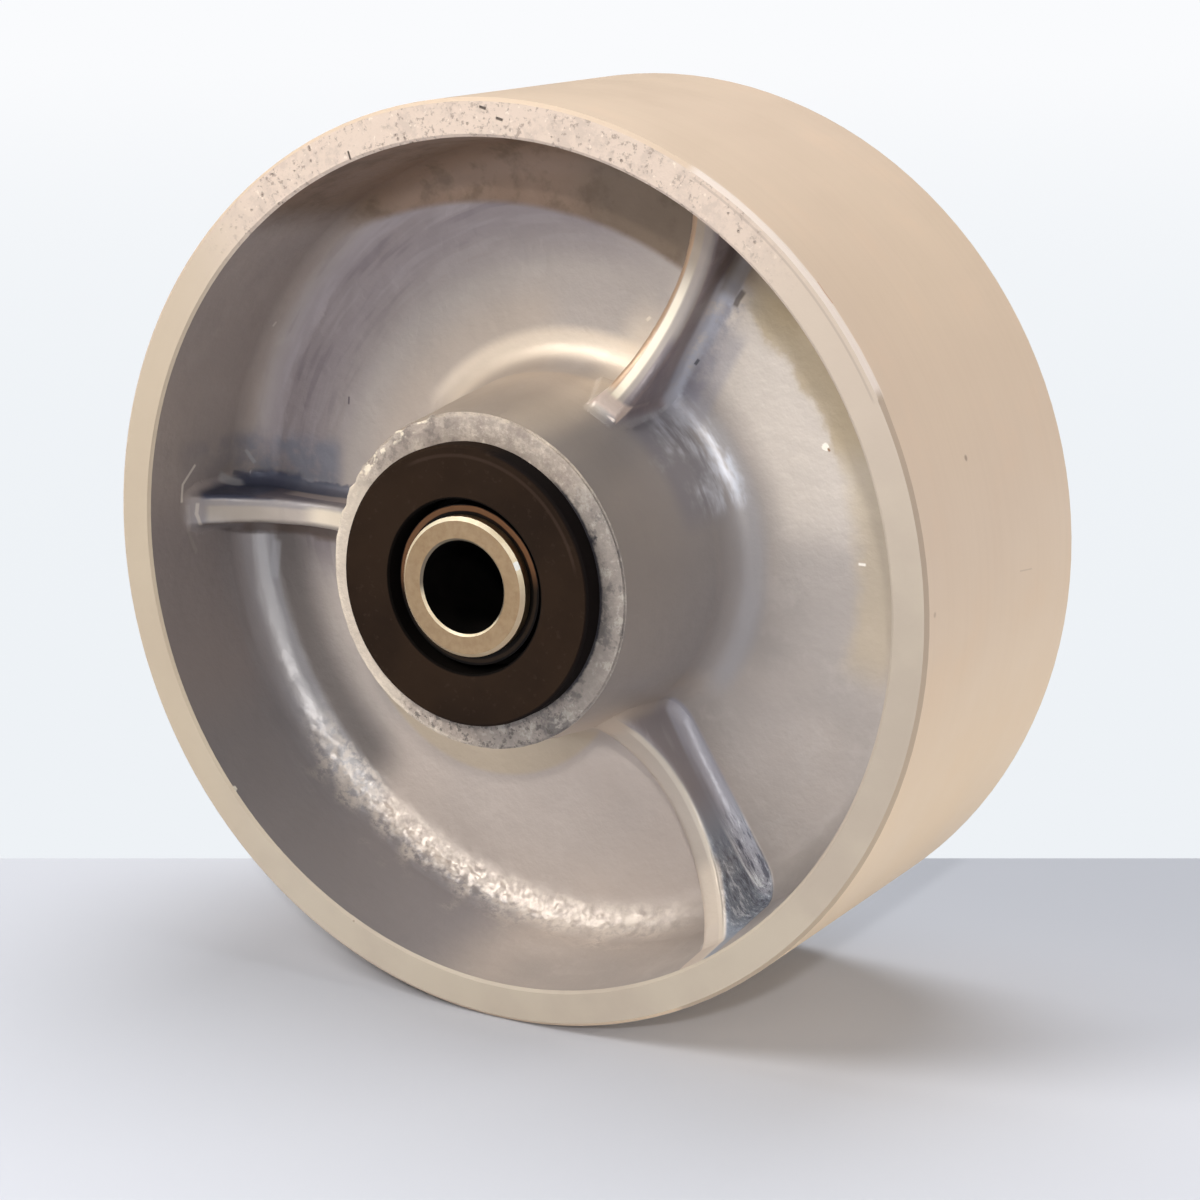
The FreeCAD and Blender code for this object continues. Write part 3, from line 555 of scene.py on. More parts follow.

    # the hub's side: warm above and below, with painted cool shade at the right, a streaky blue-white
    # painted highlight in its fillet there and a bright painted highlight arc in the fillet above
    hub_side = skin.both(skin.between(out, 0.0435, 0.0405), off_web)
    skin.lay((200, 182, 162), hub_side, 0.6)
    if on_right:
        skin.lay((160, 154, 152), hub_side, front, skin.sector(-38, 56, 22), 0.8)
        skin.lay((124, 124, 138), front, skin.sector(24, 60, 12), skin.span(out, 0.0372, 0.0403, 0.0012),
                 skin.between(skin.y, -0.024, -0.018), 0.75)
        skin.lay((164, 163, 168), front, skin.sector(-32, 62, 10), skin.span(out, 0.04, 0.045, 0.004), 0.55)
        run = skin.grain(0.0013, 3, 0.68, (0.22, 1, 0.22), (0.5, 0, 0), over=out)
    bent_out = skin.bent(out, wander, 0.006)
    if on_right:
        fillet_highlight = skin.both(front, skin.sector(22, 50, 7), skin.span(bent_out, 0.041, 0.0434, 0.0022))
        skin.lay((212, 215, 224), fillet_highlight, skin.between(run, 0.34, 0.6))
    skin.lay((240, 224, 204), skin.sector(70, 132, 16), skin.span(out, 0.043, 0.0465, 0.003), 0.7)

    # ridges of the ribs, painted a little paler as a highlight
    if rib:
        along, across = skin.beside_rib(rib)
        ridge_highlight = skin.both(skin.span(along, 0.0425, 0.0865, 0.0015), off_web,
                          skin.between(skin.maths("ABSOLUTE", across), 0.0036, 0.0022))
        skin.lay((196, 184, 170), ridge_highlight, 0.6)

    if rib == LEFT_RIB:
        # the left rib: its ridge dull above and painted cream towards the hub as a highlight, its upper
        # flank oily and blue black out to the web with a pale lens painted on it as a highlight, a brown
        # painted shadow on the web under it, its end at the rim nicked, and a painted highlight streaked
        # down the fillet below it
        smudged = skin.bent(across, wander, 0.005)
        skin.lay((148, 143, 144), front, off_web,
                 skin.strip(0.046, 0.086, 0.004, -0.003, -0.0014, 0.0008), 0.75)
        skin.lay((240, 226, 204), front, off_web,
                 skin.strip(0.044, 0.062, 0.006, -0.0012, 0.0012, 0.001), 0.8)
        skin.lay((116, 120, 133), front, skin.strip(0.066, 0.0865, 0.005, -0.013, -0.005, 0.005),
                 skin.between(skin.grain(0.004, 4, 0.6, shift=(0.3, 0, 0)), 0.36, 0.62), 0.75)
        oily = skin.both(front, skin.span(along, 0.0755, 0.088, 0.002),
                         skin.between(smudged, -0.0072, -0.0052), skin.between(across, -0.0022, -0.003),
                         skin.between(skin.y, -0.0245, -0.0225))
        skin.lay((66, 72, 94), oily, 0.9)
        skin.lay((80, 84, 100), front, skin.span(along, 0.06, 0.077, 0.003),
                 skin.span(smudged, -0.005, -0.003, 0.0008), skin.between(skin.y, -0.0066, -0.0058), 0.85)
        flank = skin.both(front, skin.span(along, 0.056, 0.077, 0.003),
                          skin.between(across, -0.0024, -0.0031), skin.between(across, -0.005, -0.0042))
        skin.lay((108, 101, 107), flank, skin.between(skin.y, -0.006, -0.0068), 0.8)
        lens = skin.both(flank, skin.between(along, 0.076, 0.072),
                         skin.span(skin.y, -0.0098, -0.007, 0.0008), 0.85)
        skin.lay((178, 165, 160), lens)
        # painted brown shadow on the web under the rib
        skin.lay((106, 90, 80), front, skin.span(along, 0.05, 0.087, 0.003),
                 skin.between(across, 0.0026, 0.0036),
                 skin.between(skin.maths("MULTIPLY_ADD", wander, 0.003, across), 0.0106, 0.0088), 0.8)
        for spots, width, strength, tint in (
                (((-0.0899, -0.0234, 0.0118), (-0.0907, -0.0271, 0.0079), (-0.0909, -0.0273, 0.004)),
                 0.0005, 0.9, (226, 220, 212)),
                (((-0.0904, -0.026, 0.0026), (-0.0905, -0.0255, -0.003), (-0.0902, -0.0234, -0.0084)),
                 0.0008, 0.35, (180, 172, 168)),
                (((-0.0888, -0.0243, 0.003), (-0.089, -0.0245, 0.0008), (-0.0886, -0.0235, -0.0022)),
                 0.0006, 0.7, (208, 198, 188)),
                (((-0.0878, -0.01, 0.0054), (-0.0893, -0.0141, 0.0074)), 0.0018, 0.6, (184, 186, 190)),
                (((-0.0862, -0.0058, 0.01), (-0.0874, -0.0072, 0.0128)), 0.0006, 0.5, (176, 178, 184)),
                (((-0.0889, -0.0098, 0.0079), (-0.0872, -0.007, 0.007)), 0.0008, 0.6, (74, 76, 92)),
                # a painted highlight streaked down the fillet below the rib
                (((-0.0818, -0.0037, -0.0095), (-0.0826, -0.0038, -0.017)), 0.0016, 0.5, (168, 168, 173))):
            skin.lay(tint, skin.stroke(spots, width), strength)

    if rib == UPPER_RIB:
        # the upper right rib, with light and shade painted across it: a painted highlight in its left
        # root, tan painted light along its left corner, a cream painted highlight on its ridge, painted
        # shade grey and purple beside the ridge and brown purple down its right flank, blue white in the
        # fillet beyond and a navy shade on the web, with a pale nub on the hub painted as lit, a few dark
        # and bright nicks, and painted highlights along the nub's edges
        skin.lay((240, 225, 205), front, skin.strip(0.04, 0.049, 0.012, 0.005, 0.008, 0.008), 0.5)
        skin.lay((158, 150, 148), front, off_web,
                 skin.strip(0.043, 0.092, 0.002, -0.0032, -0.0008, 0.0008), 0.7)
        skin.lay((134, 126, 134), front, off_web,
                 skin.strip(0.041, 0.055, 0.004, -0.004, -0.002, 0.0007), 0.7)
        cream_highlight = skin.both(front, off_web, skin.between(along, 0.0405, 0.0425),
                          skin.between(along, 0.076, 0.064), skin.span(across, 0.0001, 0.0013, 0.0006), 0.9)
        skin.lay((252, 242, 222), cream_highlight)
        skin.lay((190, 156, 126), front, off_web,
                 skin.strip(0.044, 0.09, 0.002, 0.0019, 0.0044, 0.0004), 0.8)
        flank = skin.both(front, skin.strip(0.041, 0.094, 0.002, -0.0046, -0.0031, 0.0003),
                          skin.between(skin.y, -0.0052, -0.0074), 0.75)
        mottle = skin.grain(0.0026, 4, 0.68, shift=(0.6, 0, 0))
        skin.lay((138, 126, 130), flank)
        skin.lay((166, 152, 152), flank, skin.between(mottle, 0.45, 0.62), 0.5)
        skin.lay((104, 88, 82), flank, skin.between(along, 0.05, 0.07),
                 skin.between(skin.y, -0.0135, -0.0095), 0.8)
        nub = skin.both(front, skin.between(along, 0.0426, 0.0418),
                        skin.span(across, -0.0034, 0.0042, 0.0003),
                        skin.span(skin.y, -0.0236, -0.013, 0.0006), 0.85)
        skin.lay((224, 206, 196), nub)
        root = skin.both(front, skin.strip(0.042, 0.07, 0.004, -0.006, -0.0038, 0.002),
                         skin.between(skin.y, -0.0084, -0.0056), skin.between(mottle, 0.3, 0.56), 0.85)
        skin.lay((176, 178, 190), root)
        skin.lay((136, 128, 124), front, skin.strip(0.07, 0.092, 0.003, -0.0064, -0.0036, 0.0008),
                 skin.between(skin.y, -0.0074, -0.0056), 0.8)
        skin.lay((124, 124, 142), front, skin.strip(0.044, 0.068, 0.006, -0.0086, -0.0066, 0.0024),
                 skin.between(mottle, 0.66, 0.4), 0.55)
        skin.lay((160, 158, 168), front, skin.strip(0.042, 0.06, 0.005, -0.012, -0.008, 0.0025), 0.5)
        for spots, width, strength, tint in (
                (((0.0405, -0.0035, 0.0587), (0.0394, -0.0035, 0.0572), (0.0389, -0.0035, 0.0561)),
                 0.0009, 0.75, (80, 68, 62)),
                (((0.0301, -0.0037, 0.0435), (0.0295, -0.0037, 0.0427)), 0.0005, 0.85, (78, 76, 84)),
                # painted highlights along the edges of the nub
                (((0.0144, -0.0233, 0.036), (0.018, -0.0238, 0.0345), (0.0213, -0.0242, 0.033)),
                 0.00045, 0.9, (250, 238, 230)),
                (((0.0092, -0.0104, 0.0388), (0.012, -0.017, 0.0376), (0.0144, -0.023, 0.036)),
                 0.0004, 0.6, (236, 222, 210)),
                (((0.0182, -0.0035, 0.0517), (0.0176, -0.0035, 0.0512)), 0.0005, 0.6, (236, 224, 206))):
            skin.lay(tint, skin.stroke(spots, width), strength)

    if rib == LOWER_RIB:
        # the lower right rib: a dark line of painted shadow at its left root, a pale corner painted as a
        # highlight, a pale foot at the rim, and a right flank that turns to rough torn metal with bright
        # streaks towards the rim
        # painted shadow at the rib's left root
        skin.lay((84, 74, 66), front, skin.strip(0.044, 0.086, 0.003, -0.005, -0.0041, 0.0004), 0.95)
        right_flank = skin.both(front, skin.between(along, 0.038, 0.042),
                                skin.span(across, 0.0026, 0.0062, 0.0005))
        skin.lay((150, 145, 151), right_flank, 0.8)
        down = skin.grain(0.0014, 3, 0.6, (0.14, 1, 0.14), over=across)
        skin.lay((182, 176, 180), right_flank, skin.between(down, 0.52, 0.66), 0.35)
        torn = skin.both(right_flank, skin.between(along, 0.058, 0.074))
        skin.lay((152, 161, 175), torn, 0.9)
        rough = skin.both(torn, skin.between(along, 0.068, 0.078), skin.between(skin.y, -0.0275, -0.018))
        streaks = skin.grain(0.0007, 4, 0.72, (0.16, 1, 0.16), (0.7, 0, 0), over=across)
        specks = skin.grain(0.0007, 4, 0.72, (0.45, 1, 0.45), (0.9, 0, 0), over=across)
        skin.lay((92, 90, 104), rough, skin.between(specks, 0.5, 0.4), 0.7)
        skin.lay((222, 226, 233), rough, skin.between(specks, 0.53, 0.62), 0.9)
        root = skin.both(front, skin.span(along, 0.038, 0.0865, 0.002),
                         skin.between(across, 0.0028, 0.0034), skin.between(across, 0.0072, 0.0056),
                         skin.between(skin.y, -0.0084, -0.0066))
        skin.lay((188, 188, 198), root, 0.85)
        streaked = skin.both(root, skin.between(along, 0.064, 0.074))
        skin.lay((96, 98, 112), streaked, skin.between(streaks, 0.47, 0.39), 0.85)
        skin.lay((240, 243, 248), streaked, skin.between(streaks, 0.52, 0.6))
        # painted highlight along the ridge's right corner
        skin.lay((228, 220, 206), front, off_web,
                 skin.strip(0.044, 0.09, 0.003, 0.0014, 0.0024, 0.0005), 0.5)
        skin.lay((240, 224, 206), front, skin.strip(0.078, 0.092, 0.005, -0.0034, 0.0028, 0.0005), 0.55)

    # where the sand tore away low on the rim's fillet, lumpy paint, painted bright in patches as a
    # highlight and a little darker in others
    lumps = skin.grain(0.001, 3, 0.62)
    torn_band = skin.both(front, skin.sector(-136, -78, 12), skin.span(bent_out, 0.0836, 0.0884, 0.0016))
    skin.lay((232, 221, 209), torn_band, skin.between(lumps, 0.36, 0.6), 0.5)
    skin.lay((156, 146, 138), torn_band, skin.between(lumps, 0.42, 0.3), 0.2)

    # white specks of grit stuck in the paint, and small nicks and scratches in it
    for spot_at, size in (((-0.0708, -0.0372, -0.0588), 0.0005), ((0.0604, -0.0036, 0.0278), 0.0007)):
        if (spot_at[0] > 0) == on_right:
            skin.lay((250, 244, 232), skin.near(spot_at, size, 0.0003, 0.0008))
    for spots, width, tint in (
            (((0.0688, -0.0036, 0.0036), (0.07, -0.0036, 0.0036)), 0.00045, (244, 238, 228)),
            (((0.0611, -0.0036, 0.0274), (0.0613, -0.0036, 0.0271)), 0.0004, (150, 116, 88)),
            (((-0.0776, -0.0085, 0.043), (-0.077, -0.0083, 0.0438)), 0.00035, (196, 188, 184)),
            (((-0.0605, -0.0036, 0.0272), (-0.0606, -0.0036, 0.0258)), 0.00035, (100, 90, 98))):
        if (spots[0][0] > 0) == on_right:
            skin.lay(tint, skin.stroke(spots, width))

    skin.raise_by(skin.grain(0.0018, 3, 0.62), 0.00016)
    if rib == LOWER_RIB:
        skin.raise_by(skin.both(rough, specks), 0.0008)
        skin.raise_by(skin.both(streaked, streaks), 0.0008)
    shine = skin.maths("MULTIPLY_ADD", skin.grain(0.006, 3), 0.25, 0.32)
    casting.data.materials.append(skin.done(shine, 0.35, 0.5))

# The turned tread: bare iron with a thin warm bloom of rust, faint tool lines round it, few marks,
# painted paler low at the right as bounced light, with a bright burr along its front edge at the
# upper right, the burr's edge painted bright as a highlight.
tread = Finish("turned_tread")
tread.start((205, 184, 162), (199, 178, 158), tread.between(tread.grain(0.05, 3), 0.3, 0.7))
tread.lay((210, 182, 156), tread.between(tread.grain(0.012, 4, 0.6), 0.5, 0.7), 0.25)
rings = tread.grain(0.0008, 3, 0.6, (0.02, 1, 0.02))
tread.lay((188, 166, 146), tread.between(rings, 0.4, 0.7), 0.12)
# painted bounced light: paler low at the right
tread.lay((236, 212, 180), tread.between(tread.z, 0.02, -0.06), tread.between(tread.x, 0.0, 0.05), 0.85)
smudge = tread.near((0.0953, -0.0109, 0.0303), 0.0003, 0.0006)
tread.lay((124, 104, 90), smudge, 0.7)
tread.lay((160, 136, 118), tread.near((0.0999, -0.0347, 0.0036), 0.0003, 0.0005), 0.6)
long_scratch = tread.scratch((0.0999, 0.0085, 0.0034), (0.0999, 0.0148, 0.0026), 0.00022)
tread.lay((168, 146, 126), long_scratch, 0.5)
# painted highlight on the burr's edge
lip = tread.both(tread.sector(29, 61, 2), tread.between(tread.y, -0.0364, -0.0369))
tread.lay((222, 210, 202), lip, 0.8)
dull_edge = tread.both(tread.sector(-62, 27, 2), tread.span(tread.y, -0.038, -0.0373, 0.0002))
tread.lay((150, 136, 122), dull_edge, 0.55)
rusty = tread.stroke(((0.074, -0.0365, 0.0673), (0.0757, -0.0367, 0.0655), (0.0772, -0.0365, 0.0636)),
                     0.00035)
tread.lay((176, 134, 108), rusty, 0.7)
tread.raise_by(rings, 0.00002)
turned_tread = tread.done(tread.between(tread.grain(0.012, 3), -1.1, 2.0), 0.0, 0.4)

# The faced rim: grey beige iron, paler and more open at its top, where the facing cut has
# opened the casting's pores.
face = Finish("faced_rim")
face.start((189, 177, 160), (180, 167, 152), face.between(face.grain(0.012, 4), 0.35, 0.65))
face.lay((204, 188, 172), face.between(face.z, -0.01, 0.075), 0.9)
face.lay((188, 171, 146), face.between(face.x, -0.05, -0.09), 0.6)
pored = face.both(face.sector(58, 124, 18), face.between(face.y, 0.0, -0.01))
face.lay((218, 199, 184), pored, 0.8)
blotch = face.both(pored, face.between(face.grain(0.0022, 4, 0.72), 0.47, 0.62))
face.lay((190, 174, 162), blotch, 0.5)
flecks = face.both(pored, face.between(face.grain(0.0006, 3, 0.7), 0.55, 0.66),
                   face.between(face.grain(0.004, 3), 0.3, 0.5))
face.lay((134, 118, 108), flecks, 0.6)
pores = face.both(pored, face.between(face.pits(0.0019), 0.2, 0.1),
                  face.between(face.grain(0.005, 2), 0.5, 0.6))
face.lay((124, 108, 98), pores, 0.45)
face.lay((240, 226, 210), pored,
         face.between(face.grain(0.0007, 3, 0.65, shift=(0.4, 0, 0)), 0.62, 0.7), 0.6)
face.lay((122, 106, 94), face.between(face.pits(0.009, (0.004, 0, 0)), 0.04, 0.025), 0.5)
# a painted shadow on the face beside the tread's burr
burr_shadow = face.both(face.sector(28, 61, 1), face.span(face.out_from_axle(), 0.0981, 0.0984, 0.0002),
                     face.between(face.y, 0.0, -0.01))
face.lay((150, 134, 122), burr_shadow, 0.35)
deep_pits = None
for spot_at in ((-0.0023, -0.038, 0.098), (0.0017, -0.038, 0.0959)):
    pit = face.scratch(spot_at, (spot_at[0] + 0.0012, spot_at[1], spot_at[2] - 0.0003), 0.00035)
    deep_pits = pit if deep_pits is None else face.maths("MAXIMUM", deep_pits, pit)
notch = face.scratch((-0.0345, -0.038, 0.0852), (-0.0352, -0.038, 0.0872), 0.00028)
deep_pits = face.maths("MAXIMUM", deep_pits, notch)
face.lay((74, 62, 54), deep_pits, 0.9)
rust_speck = face.near((0.0781, -0.0375, 0.0624), 0.0004, 0.0004, 0.0006)
face.lay((150, 96, 74), rust_speck, 0.8)
face.raise_by(face.rest_of(face.maths("MAXIMUM", pores, deep_pits)), 0.0004)
face.raise_by(face.grain(0.0009, 3, 0.6), 0.00005)
face.raise_by(face.both(pored, face.grain(0.0012, 3, 0.7)), 0.00025)
faced_rim = face.done(0.5, 0.0, 0.4)

# The hub's face: sawn rather than turned, light grey, rough and mottled with dark pores, its
# right and lower part darker, its corner chipped at the upper left, with painted highlights at its
# left and along its corner and a painted shadow along the dust cap's edge at the right.
hub = Finish("hub_face_iron")
out = hub.out_from_axle()
hub.start((190, 176, 163), (168, 154, 143), hub.between(hub.grain(0.0024, 4, 0.68), 0.38, 0.62))
fine = hub.grain(0.0008, 4, 0.72)
hub.lay((136, 126, 118), hub.between(fine, 0.54, 0.44), 0.35)
hub.lay((222, 210, 196), hub.between(fine, 0.56, 0.66), 0.5)
right_low = hub.sector(-78, 30, 22)
hub.lay((136, 129, 124), right_low, 0.7)
hub.lay((98, 93, 92), right_low, hub.between(hub.grain(0.003, 4, 0.7, shift=(0, 0, 0.2)), 0.49, 0.6), 0.7)
hub.lay((190, 182, 172), right_low,
        hub.between(hub.grain(0.002, 4, 0.7, shift=(0, 0, 0.5)), 0.53, 0.64), 0.6)
pored = hub.both(hub.sector(-122, -58, 16), hub.between(hub.grain(0.0009, 3, 0.72), 0.52, 0.62))
hub.lay((84, 78, 74), pored, 0.75)
worn = hub.both(hub.sector(102, 150, 8), hub.between(hub.grain(0.0016, 4, 0.7), 0.47, 0.6), 0.75)
hub.lay((120, 110, 104), worn)
# painted highlights: paler at the left, and along the front corner
hub.lay((214, 200, 182), hub.sector(150, 232, 10), 0.6)
hub.lay((236, 222, 202), hub.between(out, 0.0348, 0.0355), hub.sector(60, 250, 30),
        hub.between(hub.grain(0.003, 4, 0.7), 0.38, 0.6), 0.4)
chips = hub.both(hub.sector(112, 142, 6), hub.between(out, 0.0335, 0.0345),
                 hub.between(hub.grain(0.0012, 3), 0.48, 0.58))
hub.lay((244, 232, 210), chips, 0.8)
# an ink smudge, and a painted shadow along the dust cap's edge at the right
ink = hub.near((0.0272, -0.045, 0.0125), 0.001, 0.0014, 0.0045)
cap_shadow = hub.both(hub.sector(-40, 44, 14),
                      hub.between(hub.maths("MULTIPLY_ADD", fine, 0.0008, out), 0.0313, 0.0307))
hub.lay((30, 31, 42), hub.maths("MAXIMUM", ink, cap_shadow), 0.9)
hub.raise_by(hub.grain(0.0014, 4, 0.7), 0.0004)
hub.raise_by(fine, 0.0002)
hub_iron = hub.done(0.5, 0.0, 0.35)

# The bore: honed bright for the rollers under a film of grease. It is out of sight behind the caps.
bore = Finish("honed_bore")
bore.start((150, 142, 134), (120, 110, 100), bore.between(bore.grain(0.002, 3, 0.5, (1, 0.2, 1)), 0.4, 0.6))
bore.raise_by(bore.grain(0.0006, 2, 0.5, (1, 0.15, 1)), 0.00003)
honed_bore = bore.done(0.3, 1.0)

for material in (turned_tread, faced_rim, hub_iron, honed_bore):
    casting.data.materials.append(material)
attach(casting, "wheel")
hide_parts("wheel_casting")


def coat(node_name, material):
    """Gives a solid that keeps its shape its finish."""
    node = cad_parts[node_name]
    node.data.materials.clear()
    node.data.materials.append(material)
    for polygon in node.data.polygons:
        polygon.material_index = 0


# The dust caps: moulded in brown-black filled plastic, pressed into the hub, matt and a little
# dusty, with a slightly paler worn line near the outer edge, painted shade darkening the edge of
# their opening and a painted shadow along their outer edge at the right.
plastic = Finish("brown_black_plastic")
out = plastic.out_from_axle()
plastic.start((44, 32, 23), (36, 26, 19), plastic.between(plastic.grain(0.014, 4), 0.35, 0.65))
plastic.lay((66, 52, 44), plastic.span(out, 0.0277, 0.028, 0.0004), plastic.sector(20, 112, 10), 0.45)
plastic.lay((62, 49, 41), plastic.between(plastic.grain(0.0007, 2), 0.62, 0.72), 0.25)
# painted shade at the opening's edge, and a painted shadow along the outer edge at the right
plastic.lay((8, 6, 5), plastic.between(out, 0.0193, 0.0189), 0.95)
plastic.lay((16, 14, 16), plastic.between(out, 0.0292, 0.0298), plastic.sector(-60, 70, 16), 0.8)
plastic.raise_by(plastic.grain(0.0009, 3, 0.6), 0.00005)
moulded = plastic.done(plastic.between(plastic.grain(0.006, 3), -1.8, 1.1), 0.0, 0.07)
for name in ("front_dust_cap", "rear_dust_cap"):
    coat(name, moulded)

# The axle sleeve: a hardened steel tube, turned at its ends, with a yellowish light-grey sheen
# and a bore black with old grease.
steel = Finish("turned_steel")
rings = steel.between(steel.grain(0.0009, 3, 0.6), 0.3, 0.7)
steel.start((168, 144, 113), (157, 132, 103), rings)
steel.raise_by(rings, 0.00002)
turned_steel = steel.done(steel.between(steel.grain(0.003, 3), -0.7, 1.9), 1.0)
coat("axle_sleeve", turned_steel)
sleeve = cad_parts["axle_sleeve"]

grease = Finish("black_grease")
grease.start((14, 11, 9), (6, 5, 4), grease.between(grease.grain(0.003, 3), 0.3, 0.7))
grease.raise_by(grease.grain(0.0015, 3), 0.0001)
sleeve.data.materials.append(grease.done(0.6, 0.0, 0.1))

# the sleeve's broken edges, painted bright as a highlight where they catch the light and darker as
# shade where they face away, with one painted glint
edge = Finish("steel_edge_painted_light")
edge.start((250, 236, 206), (238, 220, 186), edge.between(edge.grain(0.002, 3), 0.4, 0.6))
inner = edge.between(edge.out_from_axle(), 0.0125, 0.012)
lit_inner = edge.both(inner, edge.sector(200, 315, 20))
edge.lay((92, 78, 62), edge.maths("SUBTRACT", inner, lit_inner), 0.9)
shaded_outer = edge.both(edge.rest_of(inner), edge.rest_of(edge.sector(20, 150, 25)))
edge.lay((178, 150, 116), shaded_outer, 0.75)
edge.lay((255, 253, 246), edge.near((0.0133, -0.0502, 0.0062), 0.0008, 0.0003, 0.0006))
edge.raise_by(edge.grain(0.0006, 2), 0.00002)
sleeve.data.materials.append(edge.done(0.35, 0.2, 0.6))
SLEEVE_BORE = 0.01004
for polygon in sleeve.data.polygons:
    sideways = math.hypot(polygon.normal.x, polygon.normal.z)
    in_bore = math.hypot(polygon.center.x, polygon.center.z) < SLEEVE_BORE
    if in_bore and abs(polygon.normal.y) < 0.2:
        polygon.material_index = 1
    elif 0.3 < sideways < 0.95:
        polygon.material_index = 2

# The thrust washers: cast bronze under black grease, with a faint brown ring round them, painted
# brighter over the top as a highlight, seen deep in the groove round the sleeve.
bronze = Finish("thrust_bronze")
out = bronze.out_from_axle()
bronze.start((16, 11, 8), (8, 6, 5), bronze.between(bronze.grain(0.002, 3), 0.4, 0.6))
wavy_out = bronze.maths("MULTIPLY_ADD", bronze.grain(0.003, 2), 0.0004, out)
lit_ring = bronze.both(bronze.span(wavy_out, 0.0162, 0.017, 0.0003), bronze.sector(24, 172, 24))
bronze.lay((124, 86, 58), lit_ring, 0.85)
bronze.lay((84, 66, 50), bronze.span(wavy_out, 0.0162, 0.0167, 0.0003), 0.25)
bronze.raise_by(bronze.grain(0.0007, 2), 0.00003)
thrust_bronze = bronze.done(0.45, 0.6, 0.2)
for name in ("front_thrust_washer", "rear_thrust_washer"):
    coat(name, thrust_bronze)

# The bearing cage: a steel tube with ten milled pockets that keep the rollers apart, oil-black,
# out of sight behind the caps.
black = Finish("oiled_cage_steel")
black.start((70, 66, 62), (48, 45, 42), black.between(black.grain(0.003, 3), 0.4, 0.6))
black.raise_by(black.grain(0.0008, 2), 0.00003)
coat("bearing_cage", black.done(0.4, 1.0))

# The rollers: ten ground and hardened steel pins between the sleeve and the hub's bore, bright
# under a film of grease.
bright = Finish("ground_roller_steel")
bright.start((190, 188, 184), (166, 162, 156),
             bright.between(bright.grain(0.002, 3, 0.5, (1, 0.1, 1)), 0.4, 0.6))
bright.raise_by(bright.grain(0.0005, 2, 0.5, (1, 0.1, 1)), 0.00001)
ground_steel = bright.done(0.25, 1.0)
for number in range(1, 11):
    coat("roller_%02d" % number, ground_steel)

# The floor: a pale blue-grey sheet. Past a line behind the wheel it is seen, in reflections too,
# as a white backdrop, but it lights the wheel as a plain floor.
floor_mesh = bpy.data.meshes.new("pale_floor")
FLOOR_RADIUS = 6.0
FLOOR_HEIGHT = -0.1002
sheet = bmesh.new()
bmesh.ops.create_circle(sheet, cap_ends=True, segments=64, radius=FLOOR_RADIUS)
bmesh.ops.translate(sheet, verts=sheet.verts, vec=(0, 0, FLOOR_HEIGHT))
sheet.to_mesh(floor_mesh)
sheet.free()
floor = bpy.data.objects.new("pale_floor", floor_mesh)
bpy.context.scene.collection.objects.link(floor)

# the line runs square to the camera's own direction, this far behind the wheel's middle
CAMERA_YAW = 0.52727
FAR_LINE = 0.0745
LINE_BLUR = 0.0006
ground = Finish("pale_floor")
behind = ground.maths("ADD", ground.maths("MULTIPLY", ground.x, -math.sin(CAMERA_YAW)),
                      ground.maths("MULTIPLY", ground.y, math.cos(CAMERA_YAW)))
far = ground.between(behind, FAR_LINE, FAR_LINE + LINE_BLUR)
ground.start((200, 203, 212), (202, 205, 213), ground.between(ground.grain(0.2, 2), 0.3, 0.7))
floor_material = ground.done(0.6, 0.0, 0.2)
backdrop = ground.node("Emission")
ground.put(ground.mix(ground.between(behind, 0.06, 3.0), (238, 242, 246), (250, 251, 253)),
           backdrop.inputs["Color"])
rays = ground.node("LightPath")
mirrored = ground.maths("MAXIMUM", rays.outputs["Is Glossy Ray"], rays.outputs["Is Transmission Ray"])
seen_far = ground.maths("MULTIPLY", far, ground.maths("MAXIMUM", rays.outputs["Is Camera Ray"], mirrored))
pick = ground.node("MixShader")
ground.put(seen_far, pick.inputs["Fac"])
ground.put(ground.shader.outputs["BSDF"], pick.inputs[1])
ground.put(backdrop.outputs[0], pick.inputs[2])
ground.put(pick.outputs[0], ground.output.inputs["Surface"])
floor_mesh.materials.append(floor_material)


# The light: a small lamp in front at the right, which casts the shadows in the recess, four larger
# and softer ones round the wheel, and an even sky.
def lamp(name, place, size, power, tone):
    """A round lamp that faces the wheel's middle."""
    light = bpy.data.lights.new(name, "AREA")
    light.shape = "DISK"
    light.size = size
    light.energy = power
    light.color = tone
    holder = bpy.data.objects.new(name, light)
    bpy.context.scene.collection.objects.link(holder)
    holder.location = place
    holder.rotation_euler = Vector(place).to_track_quat("Z", "Y").to_euler()


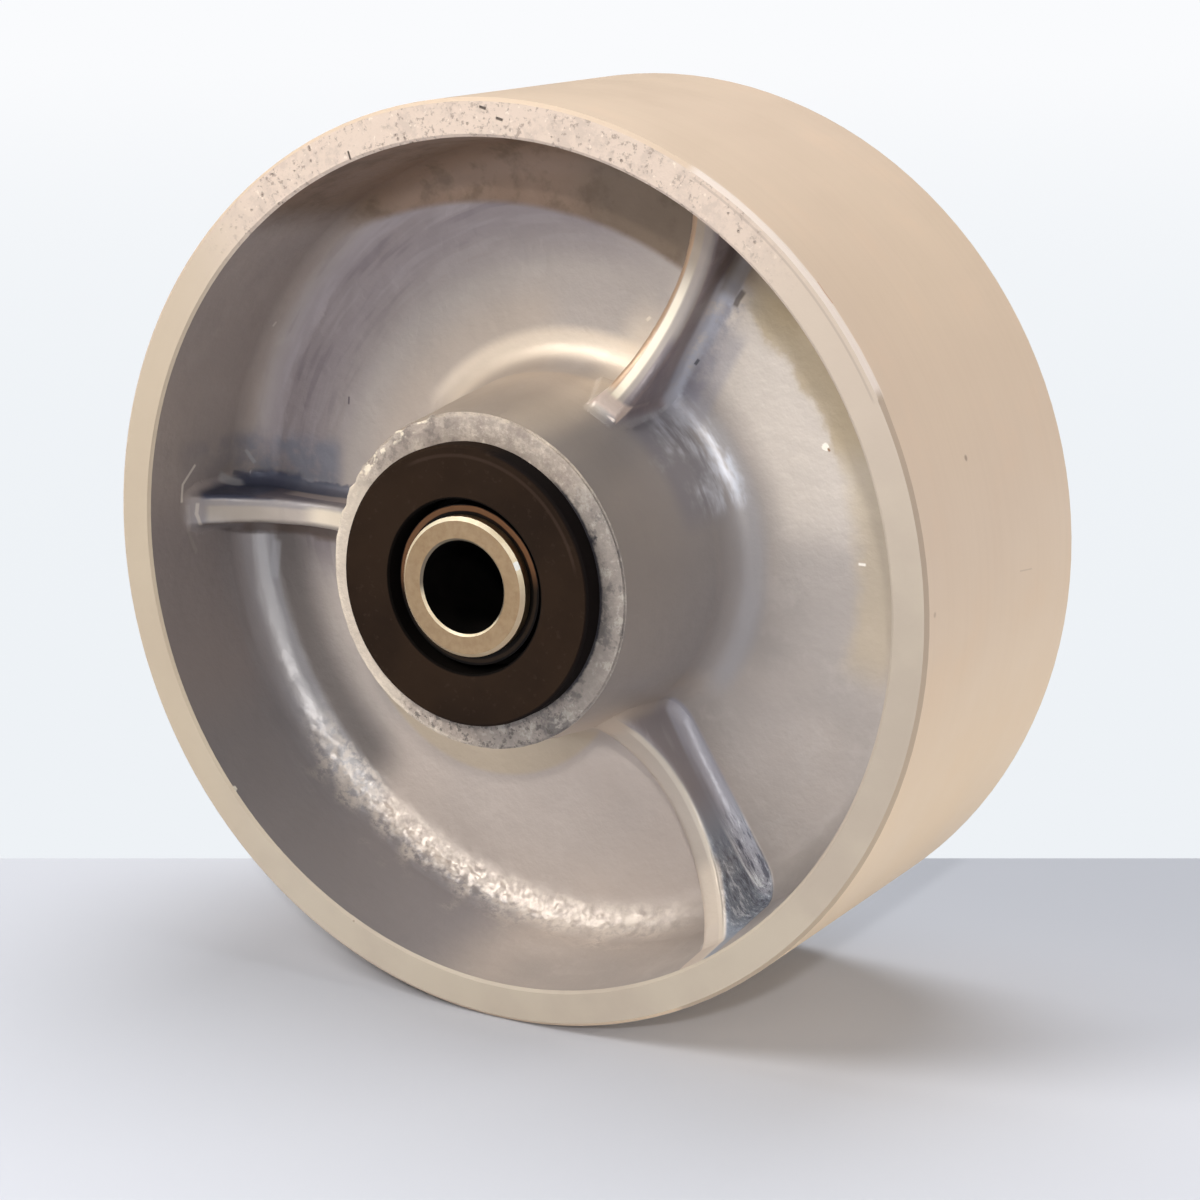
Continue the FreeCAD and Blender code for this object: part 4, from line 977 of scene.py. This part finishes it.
lamp("right_lamp", Vector((0.437, -0.807, 0.395)) * 1.4, 0.06, 6.0, (1.0, 0.97, 0.93))
lamp("left_window", (-0.42, -0.55, 0.62), 0.5, 6.0, (1.0, 0.97, 0.93))
lamp("side_sheet", (1.25, 0.55, 0.2), 0.9, 10.5, (1.0, 0.96, 0.91))
lamp("top_sheet", (-0.05, 0.3, 1.2), 1.0, 12.0, (0.98, 0.99, 1.0))
lamp("low_sheet", (-0.3, -0.95, 0.12), 0.45, 1.5, (1.0, 0.97, 0.93))
world = bpy.data.worlds.new("soft_studio")
bpy.context.scene.world = world
world.use_nodes = True
sky = world.node_tree
sky.nodes.clear()
world_out = sky.nodes.new("ShaderNodeOutputWorld")
seen = sky.nodes.new("ShaderNodeBackground")
seen.inputs["Color"].default_value = (0.9, 0.93, 0.95, 1)
lit = sky.nodes.new("ShaderNodeBackground")
lit.inputs["Color"].default_value = (0.93, 0.96, 1.0, 1)
lit.inputs["Strength"].default_value = 0.1
path = sky.nodes.new("ShaderNodeLightPath")
blend = sky.nodes.new("ShaderNodeMixShader")
sky.links.new(path.outputs["Is Camera Ray"], blend.inputs["Fac"])
sky.links.new(lit.outputs[0], blend.inputs[1])
sky.links.new(seen.outputs[0], blend.inputs[2])
sky.links.new(blend.outputs[0], world_out.inputs["Surface"])
bpy.context.scene.view_settings.view_transform = "Standard"

# The camera: to the right of the wheel's front and a little above its middle, as fitted to the
# photo. Its focal length is in pixels of the photo's own width.
camera_data = bpy.data.cameras.new("camera")
camera = bpy.data.objects.new("camera", camera_data)
bpy.context.scene.collection.objects.link(camera)
CAMERA_PITCH = 0.24725
FOCAL_PIXELS = 3015.9
PHOTO_PIXELS = 1200
SENSOR_WIDTH = 36
camera.location = (0.33101, -0.56189, 0.15098)
look_back = Vector((math.sin(CAMERA_YAW) * math.cos(CAMERA_PITCH),
                    -math.cos(CAMERA_YAW) * math.cos(CAMERA_PITCH), math.sin(CAMERA_PITCH)))
camera.rotation_euler = look_back.to_track_quat("Z", "Y").to_euler()
camera_data.sensor_width = SENSOR_WIDTH
camera_data.lens = FOCAL_PIXELS / PHOTO_PIXELS * SENSOR_WIDTH
camera_data.clip_start = 0.01
bpy.context.scene.camera = camera
